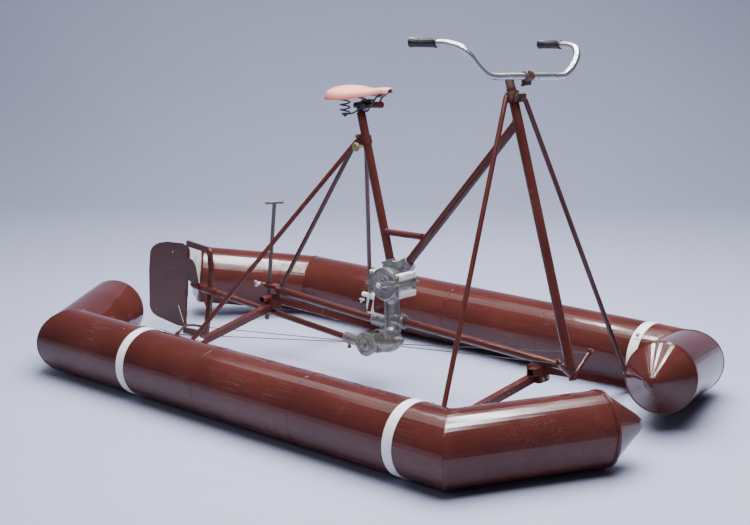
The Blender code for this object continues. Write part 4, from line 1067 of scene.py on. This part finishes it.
def pedal(name, side):
    """Both blocks, the end plates with their nuts, and the barrel of one pedal."""
    way = Vector((cos(CRANK_ANGLE), 0, sin(CRANK_ANGLE))) * -side
    spindle = CRANK_AXLE + way * CRANK_ARM
    parts = []
    pitch = (PEDAL_LENGTH - 0.012) / SLATS
    first = PEDAL_START + 0.006 + pitch / 2
    for level in (-1, 1):
        centre = spindle + Vector((0, side * first, level * 0.0322))
        slat = block(f"{name}_slat_{level}", centre, (0.0245, pitch * 0.66, 0.0235), 0.0022)
        parts.append(modify(slat, "ARRAY", count=SLATS, use_relative_offset=False, use_constant_offset=True,
                            constant_offset_displace=(0, side * pitch, 0)))
        middle = spindle + Vector((0, side * (PEDAL_START + PEDAL_LENGTH / 2), level * 0.0322))
        parts.append(block(f"{name}_core_{level}", middle, (0.0215, PEDAL_LENGTH - 0.010, 0.0205), 0.001))
    blocks = hand_over(smooth(joined(name + "_blocks", parts), 30), pedal_alloy, "pedal_" + name.split("_")[-1])
    metal = []
    for place in (PEDAL_START + 0.002, PEDAL_START + PEDAL_LENGTH - 0.006):
        centre = spindle + Vector((0, side * (place + 0.002), 0))
        metal.append(block(f"{name}_plate_{place:.3f}", centre, (0.018, 0.0035, 0.082), 0.0012))
        outward = 1 if place > PEDAL_START + 0.01 else -1
        for level in (-1, 1):
            nut_at = centre + Vector((0, side * outward * 0.0018, level * 0.0322))
            metal.append(bolt(f"{name}_nut_{place:.3f}_{level}", nut_at, (0, side * outward, 0), 0.0075))
    start = spindle + Vector((0, side * PEDAL_START, 0))
    end = spindle + Vector((0, side * (PEDAL_START + PEDAL_LENGTH), 0))
    metal.append(rod(name + "_barrel", start, end, 0.0112, 24, 0.0015))
    metal.append(rod(name + "_collar", start + (end - start) * 0.88, end + Vector((0, side * 0.001, 0)), 0.0128, 24, 0.0012))
    return blocks, hand_over(smooth(joined(name + "_metal", metal), 30), bolt_steel, "pedal_" + name.split("_")[-1])


for side_name, side in (("starboard", -1), ("port", 1)):
    blocks, metal = pedal("block_pedal_" + side_name, side)
    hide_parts("pedal_" + side_name)
    cap_at = CRANK_AXLE + Vector((cos(CRANK_ANGLE), 0, sin(CRANK_ANGLE))) * -side * CRANK_ARM
    cap_at += Vector((0, side * (PEDAL_START + PEDAL_LENGTH + 0.0015), 0))
    cap = rod("pedal_cap_" + side_name, cap_at, cap_at + Vector((0, side * 0.008, 0)), 0.0098, 20, 0.002)
    hand_over(smooth(cap), rusty_steel, "crank")
    print("pedal", side_name, len(blocks.data.polygons) + len(metal.data.polygons), "faces")

# %% [markdown]
# The drive housing is a drum with a column below it. Its face plates are held by small screws, its crank
# ends by cotter pins, and its lugs by bolts with their nuts. Raised rings show where castings meet.

# %% Details of the drive housing
DRUM_RADIUS = 0.062
COVER_SCREWS = 3


def ring_bead(name, centre, way, radius, thickness, finish, body):
    """A plain raised ring round an axis."""
    deselect()
    bpy.ops.mesh.primitive_torus_add(major_segments=48, minor_segments=10, major_radius=radius,
                                     minor_radius=thickness, location=centre, rotation=facing(way))
    return hand_over(smooth(settle(added(name)), 80), finish, body)


screws = []
for side in (-1, 1):
    for number in range(COVER_SCREWS):
        turn = 2 * pi * number / COVER_SCREWS + 0.35
        spot = CRANK_AXLE + Vector((cos(turn) * 0.050, side * 0.0495, sin(turn) * 0.050))
        screws.append(bolt(f"cover_screw_{side}_{number}", spot, (0, side, 0), 0.0055))
hand_over(joined("cover_screws", screws), bolt_steel, "boat")
for side_name, side in (("starboard", -1), ("port", 1)):
    for number, radius in enumerate((0.0335, 0.0560)):
        ring_bead(f"cover_ring_{number}_{side_name}", CRANK_AXLE + Vector((0, side * 0.0500, 0)), (0, 1, 0), radius,
                  0.0014, dark_steel if number else cast_alloy, "boat")
    pin_way = Vector((-sin(CRANK_ANGLE), 0, cos(CRANK_ANGLE)))
    pin_at = CRANK_AXLE + Vector((0, side * 0.062, 0)) + Vector((cos(CRANK_ANGLE), 0, sin(CRANK_ANGLE))) * -side * 0.011
    pin = [rod("pin", pin_at - pin_way * 0.022, pin_at + pin_way * 0.020, 0.0042, 16, 0.001),
           bolt("pin_nut", pin_at + pin_way * 0.0150, pin_way, 0.0105)]
    hand_over(joined("cotter_pin_" + side_name, pin), bolt_steel, "crank")
    end_cap = rod("axle_cap_" + side_name, CRANK_AXLE + Vector((0, side * 0.0745, 0)),
                  CRANK_AXLE + Vector((0, side * 0.0785, 0)), 0.0098, 24, 0.0016)
    hand_over(smooth(end_cap), pedal_alloy, "crank")
COLUMN_AT = at(-0.020, 0, 0)
for number, (height, radius) in enumerate(((0.2285, 0.0352), (0.2370, 0.0350), (0.3520, 0.0345))):
    ring_bead(f"column_ring_{number}", COLUMN_AT + Vector((0, 0, height)), (0, 0, 1), radius, 0.0014, cast_alloy, "boat")
ring_bead("rear_lug_ring", at(-0.1060, 0, 0.258), (1, 0, 0), 0.0235, 0.0022, cast_alloy, "boat")
ring_bead("front_lug_ring", at(0.0440, 0, 0.272), (1, 0, 0), 0.0237, 0.0022, cast_alloy, "boat")
LEG_PIVOT = at(-0.122, 0, 0.162)
for side_name, side in (("starboard", -1), ("port", 1)):
    for number, radius in enumerate((0.014, 0.027, 0.037)):
        ring_bead(f"pivot_ring_{number}_{side_name}", LEG_PIVOT + Vector((0, side * 0.0420, 0)), (0, 1, 0), radius,
                  0.0015, dark_steel if number == 1 else brown_casting, "boat")
    hand_over(bolt("pivot_bolt_" + side_name, LEG_PIVOT + Vector((0, side * 0.0418, 0)), (0, side, 0), 0.016),
              bolt_steel, "boat")
# Bolts on the housing and the frame lug. Columns: x, y, z, direction, size
HOUSING_BOLTS = (
    (-0.100, -0.0235, 0.262, (0, -1, 0), 0.009), (-0.075, -0.0170, 0.274, (-0.2, -0.7, 0.7), 0.008),
    (-0.075, -0.0170, 0.242, (-0.2, -0.7, -0.7), 0.008), (0.034, -0.0237, 0.272, (0, -1, 0), 0.009),
    (0.030, -0.0150, 0.2905, (0.1, -0.5, 0.85), 0.009), (0.006, -0.0300, 0.2325, (0.5, -0.8, 0), 0.008),
    (-0.046, -0.0270, 0.2325, (-0.5, -0.8, 0), 0.008), (-0.050, -0.013, 0.486, (-0.8, -0.3, 0.5), 0.011),
    (-0.030, -0.0210, 0.466, (0, -1, 0), 0.010), (0.036, -0.0210, 0.476, (0, -1, 0), 0.010),
    (0.068, -0.0210, 0.484, (0, -1, 0), 0.010), (0.006, -0.013, 0.4955, (0.2, -0.4, 0.9), 0.010),
)
bolts = [bolt(f"housing_bolt_{number}", at(x, y, z), way, size)
         for number, (x, y, z, way, size) in enumerate(HOUSING_BOLTS)]
hand_over(joined("housing_bolts", bolts), bolt_steel, "boat")
hand_over(wing_screw("front_lug_wing", at(0.040, -0.006, 0.2945), (0.2, -0.2, 1), 0.026, (1, 0, 0)), bolt_steel, "boat")
print("housing bolts:", len(HOUSING_BOLTS))

# %% [markdown]
# Wing screws, clamp screws and bolts finish the frame. Each one stands where it was seen on the boat, and the far side
# gets the same where the boat needs it.

# %% Clamps and screws on the frame
head_wing = wing_screw("head_wing_screw", at(0.566, -0.020, 1.150), (0.55, -0.8, 0.1), 0.042, (0.3, 0.1, 1))
hand_over(head_wing, rusty_steel, "boat")
hand_over(bolt("head_clamp_bolt", at(0.545, -0.0185, 1.142), (0, -1, 0), 0.013, 0.036), rusty_steel, "boat")
stem_bolts = [bolt("bar_clamp_bolt", at(0.583, -0.012, 1.193), (0.2, 0, -1), 0.013, 0.010),
              bolt("bar_clamp_nut", at(0.606, -0.004, 1.2345), (0.55, 0, 0.85), 0.012),
              block("bar_clamp_ear", at(0.6055, 0, 1.2330), (0.014, 0.020, 0.008), 0.002, (0, radians(35), 0))]
hand_over(joined("bar_clamp_bolts", stem_bolts), rusty_steel, "steering")
hand_over(wing_screw("lift_guide_wing", at(-0.7430, 0.0060, 0.295), (-0.8, -0.6, 0), 0.040, (0.5, -0.4, 1)),
          pale_zinc_and_painted_reflection, "boat")
knob_rings = []
for number in range(20):
    turn = 2 * pi * number / 20
    spot = at(-0.150 + cos(turn) * 0.0160, -0.0555, 0.915 + sin(turn) * 0.0160)
    knob_rings.append(block(f"knob_rib_{number}", spot, (0.0022, 0.0068, 0.0022), 0.0005, (0, -turn, 0)))
hand_over(joined("knob_ribs", knob_rings), knob_brass, "boat")
hand_over(bolt("seat_clamp_bolt", at(-0.176, -0.0165, 0.948), (0, -1, 0), 0.013), rusty_steel, "boat")
# Bolts where the beams and braces meet the floats. Columns: x, y, z, direction, size, finish
FOOT_BOLTS = (
    (-0.610, -0.560, 0.151, (0.1, 0.35, 1), 0.016, pale_zinc_and_painted_reflection), (-0.642, 0.545, 0.165, (0.1, -0.5, 1), 0.015, pale_zinc_and_painted_reflection),
    (0.672, -0.553, 0.150, (0, 0.35, 1), 0.014, bolt_steel), (0.664, 0.545, 0.083, (0, -0.6, 1), 0.014, bolt_steel),
)
for number, (x, y, z, way, size, finish) in enumerate(FOOT_BOLTS):
    hand_over(bolt(f"foot_bolt_{number}", at(x, y, z), way, size), finish, "boat")
hub_bolts = [bolt("hub_bolt_0", at(0.6942, -0.012, 0.183), (1, 0, 0), 0.011),
             bolt("hub_bolt_1", at(0.6942, 0.014, 0.186), (1, 0, 0), 0.011),
             bolt("hub_bolt_2", at(0.664, -0.0302, 0.180), (0, -1, 0), 0.010),
             bolt("hub_bolt_3", at(-0.6845, -0.012, 0.224), (-1, 0, 0), 0.011),
             bolt("hub_bolt_4", at(-0.6845, 0.014, 0.224), (-1, 0, 0), 0.011)]
hand_over(joined("hub_bolts", hub_bolts), bolt_steel, "boat")
print("screws and bolts made")

# %% [markdown]
# Each float's white bands are steel straps drawn tight with a clasp. The port stern strap's clasp and its
# wing nut show in the photo behind the housing. A strap's lapped end is a short plate bent to the float.

# %% Clasps on the straps
for number, (x, side, turn) in enumerate(((0.6825, -1, 48), (-0.6425, -1, 48), (0.6825, 1, 48), (-0.6425, 1, 20))):
    lift = radians(turn)
    out = Vector((0, -side * cos(lift), sin(lift)))
    along = Vector((0, side * sin(lift), cos(lift)))
    spot = at(x, side * FLOAT_SIDE, FLOAT_HEIGHT) + out * (FLOAT_RADIUS + 0.0030)
    lap = block(f"strap_lap_{number}", (0, 0, 0), (0.030, 0.0030, 0.034), 0.0010)
    lap.matrix_world = Matrix.Translation(spot) @ Matrix((ahead, out, along)).transposed().to_4x4()
    settle(lap)
    hand_over(lap, band_white, "boat")
    hand_over(bolt(f"strap_bolt_{number}", spot + out * 0.0012, out, 0.013), bolt_steel, "boat")
print("straps clasped")

# %% [markdown]
# The stern ends of the floats are closed by dished plates. The plate on the far float shows a pale reflection of the
# wall, and the plates' pale bare-metal finish is that reflection painted on. Beside it, on the near rear beam, a pale
# clip holds the foot of the brace.

# %% End plates and the brace clip
CAP_BEND = 0.008
CAP_DEPTH = 0.028
# Columns: side name, side sign, roll, stern elbow x, stern angle, length of the stern end
STERN_ROWS = (("starboard", -1, 0.5, -1.085, 56, 0.541), ("port", 1, 8.5, -1.115, 52, 0.536))
for side_name, side, roll, elbow_x, angle, length in STERN_ROWS:
    lean, rolled = radians(angle), radians(roll)
    way = Vector((-cos(lean), -side * sin(lean) * cos(rolled), sin(lean) * sin(rolled)))
    rim = at(elbow_x, side * FLOAT_SIDE, FLOAT_HEIGHT) + way * (length - CAP_DEPTH)
    plate = rod("painted_reflection_plate_" + side_name, rim + way * CAP_BEND, rim + way * (CAP_DEPTH + 0.0006),
                FLOAT_RADIUS * 0.94 + 0.0008, 56, 0.0, FLOAT_RADIUS * 0.70 + 0.0008)
    # Painted reflection: the plate's pale zinc finish stands in for the pale wall reflected in the float's end.
    hand_over(smooth(plate, 30), pale_zinc_and_painted_reflection, "boat")
    bead("seam_plate_" + side_name, ring_on(rim + way * CAP_BEND, way, way, FLOAT_RADIUS * 0.945), 0.0016, float_paint,
         seed=31)
clip_at = at(-0.652, -0.410, 0.1555)
clip = [block("clip_plate", clip_at, (0.030, 0.034, 0.004), 0.001, (radians(11), 0, 0)),
        bolt("clip_bolt", clip_at + Vector((0.004, 0, 0.002)), (0, 0, 1), 0.013)]
hand_over(joined("brace_clip", clip), pale_zinc_and_painted_reflection, "boat")
print("end plates and clip made")

# %% [markdown]
# On the far stern strap, behind the housing, a pale clasp with a wing nut stands out from the float, and
# a red-brown plate covers the right part of the strap below it. Both show between the column and the
# brace in the photo.

# %% The far strap's clasp
CLASP_TURN = radians(18)
clasp_out = Vector((0, -cos(CLASP_TURN), sin(CLASP_TURN)))
clasp_up = Vector((0, sin(CLASP_TURN), cos(CLASP_TURN)))
clasp_at = at(-0.655, FLOAT_SIDE, FLOAT_HEIGHT) + clasp_out * (FLOAT_RADIUS + 0.004)
clasp = [rod("clasp_barrel", clasp_at + clasp_out * 0.010 - ahead * 0.022, clasp_at + clasp_out * 0.010 + ahead * 0.016,
             0.0105, 24, 0.0015),
         bolt("clasp_nut", clasp_at + clasp_out * 0.010 + ahead * 0.016, ahead, 0.019),
         bolt("clasp_screw", clasp_at + clasp_out * 0.018, clasp_out, 0.011)]
hand_over(joined("strap_clasp", clasp), pale_zinc_and_painted_reflection, "boat")
hand_over(wing_screw("clasp_wing", clasp_at - clasp_up * 0.020 - ahead * 0.016, (-0.6, -0.7, -0.3), 0.036, (0.5, -0.4, 0.9)),
          pale_zinc_and_painted_reflection, "boat")
cover = block("strap_cover", (0, 0, 0), (0.020, 0.0036, 0.052), 0.0012)
cover_at = at(-0.634, FLOAT_SIDE, FLOAT_HEIGHT) + clasp_out * (FLOAT_RADIUS + 0.0026) - clasp_up * 0.042
cover.matrix_world = Matrix.Translation(cover_at) @ Matrix((ahead, clasp_out, clasp_up)).transposed().to_4x4()
hand_over(settle(cover), float_paint, "boat")
print("clasp made")

# %% [markdown]
# Two thin steel wires join the yoke under the steering post to the arms of the rudder. They are drawn tight, and pass
# an eye beside the leg's pivot, so that lifting the leg hardly changes their length. Each is made in lengths: one from
# the eye to the yoke, and two from the eye to the rudder's arm.

# %% The steering wires
WIRE_RADIUS = 0.0016
EYE_HEIGHT = 0.143
PIECES_PER_WIRE = 24


def straight(start, end, pieces=PIECES_PER_WIRE):
    return [start.lerp(end, step / pieces) for step in range(pieces + 1)]


for side_name, side in (("starboard", -1), ("port", 1)):
    eye = at(-0.158, 0.053 + side * 0.004, EYE_HEIGHT)
    yoke_end = at(0.8155, side * 0.091, 0.2785)
    front = bent_wire("front_wire_" + side_name, straight(eye, yoke_end), WIRE_RADIUS)
    hand_over(front, cable_wire, None)
    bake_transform(front)
    horn_end = at(-1.166, -side * 0.083, 0.0235)
    middle = eye.lerp(horn_end, 0.45)
    rear = bent_wire("rear_wire_" + side_name, straight(eye, middle), WIRE_RADIUS)
    hand_over(rear, cable_wire, None)
    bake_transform(rear)
    last = bent_wire("horn_wire_" + side_name, straight(middle, horn_end), WIRE_RADIUS)
    hand_over(last, cable_wire, None)
    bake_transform(last)
    hooks = [bent_wire("hook_" + side_name, [yoke_end + Vector(step) for step in (
        (0, 0, 0), (0.002, side * 0.004, 0.007), (0.006, side * 0.006, 0.011), (0.011, side * 0.005, 0.010),
        (0.012, side * 0.002, 0.004), (0.008, 0, 0.001))], 0.0028, smooth_path=True),
             bolt("hook_nut_" + side_name, yoke_end + Vector((0.006, 0, 0.004)), (1, 0, 0.3), 0.011)]
    hand_over(joined("yoke_hook_" + side_name, hooks), rusty_steel, "steering")
    tie = [rod("tie_" + side_name, horn_end + Vector((0.004, 0, 0.001)), horn_end + Vector((-0.010, 0, -0.001)), 0.0072, 16, 0.001),
           bolt("tie_nut_" + side_name, horn_end + Vector((-0.001, 0, 0.0065)), (0, 0, 1), 0.010)]
    hand_over(smooth(joined("horn_tie_" + side_name, tie)), rusty_steel, "rudder")
eye_parts = [block("eye_plate", at(-0.150, 0.0470, 0.146), (0.030, 0.0080, 0.022), 0.0015)]
for side in (-1, 1):
    deselect()
    bpy.ops.mesh.primitive_torus_add(major_segments=24, minor_segments=8, major_radius=0.0042, minor_radius=0.0016,
                                     location=at(-0.158, 0.053 + side * 0.004, EYE_HEIGHT), rotation=(0, pi / 2, 0))
    eye_parts.append(settle(added(f"eye_{side}")))
hand_over(smooth(joined("wire_eyes", eye_parts), 50), brown_casting, "boat")
print("wires and eyes made")

# %% [markdown]
# The rudder turns on two pins in the ends of its frame. A light wire guard, bright at its tip, leans on
# the lower front corner of the blade, and a nut holds the propeller.

# %% Rudder and propeller details
guard = bent_wire("rudder_guard", [at(-1.246, -0.006, 0.125), at(-1.236, -0.006, 0.098), at(-1.226, -0.005, 0.070),
                                   at(-1.2185, -0.0035, 0.052)], 0.0016, smooth_path=True)
hand_over(guard, pale_zinc_and_painted_reflection, "rudder")
stock_way = (at(-1.178, 0, 0.384) - at(-1.214, 0, 0.045)).normalized()
knuckles = []
for number, share in enumerate((0.14, 0.40, 0.66, 0.90)):
    place = at(-1.214, 0, 0.045).lerp(at(-1.178, 0, 0.384), share)
    knuckles.append(rod(f"knuckle_{number}", place - stock_way * 0.012, place + stock_way * 0.012, 0.0080, 18, 0.001))
hand_over(smooth(joined("rudder_knuckles", knuckles)), frame_paint, "rudder")
shaft_way = (at(-0.262, 0, 0.160) - at(-1.080, 0, 0.222)).normalized()
hub = at(-1.128, 0, 0.2256)
nut = bolt("propeller_nut", hub - shaft_way * 0.0305, -shaft_way, 0.015)
hand_over(nut, bolt_steel, "propeller")
ring_bead("bearing_ring_front", at(-1.080, 0, 0.222) + shaft_way * 0.0700, shaft_way, 0.0166, 0.0013, frame_paint, "leg")
ring_bead("bearing_ring_rear", at(-1.080, 0, 0.222) - shaft_way * 0.0120, shaft_way, 0.0166, 0.0013, frame_paint, "leg")
sleeve_at = at(-0.262, 0, 0.160)
ring_bead("sleeve_ring_front", sleeve_at + shaft_way * 0.020, shaft_way, 0.0206, 0.0014, brown_casting, "leg")
ring_bead("sleeve_ring_rear", sleeve_at + shaft_way * 0.004, shaft_way, 0.0200, 0.0014, brown_casting, "leg")
hand_over(bolt("sleeve_screw", at(-0.240, 0, 0.1285), (0, 0, -1), 0.013), rusty_steel, "leg")
print("rudder and propeller details made")

# %% [markdown]
# The last step leaves nothing selected.

# %% The end
deselect()
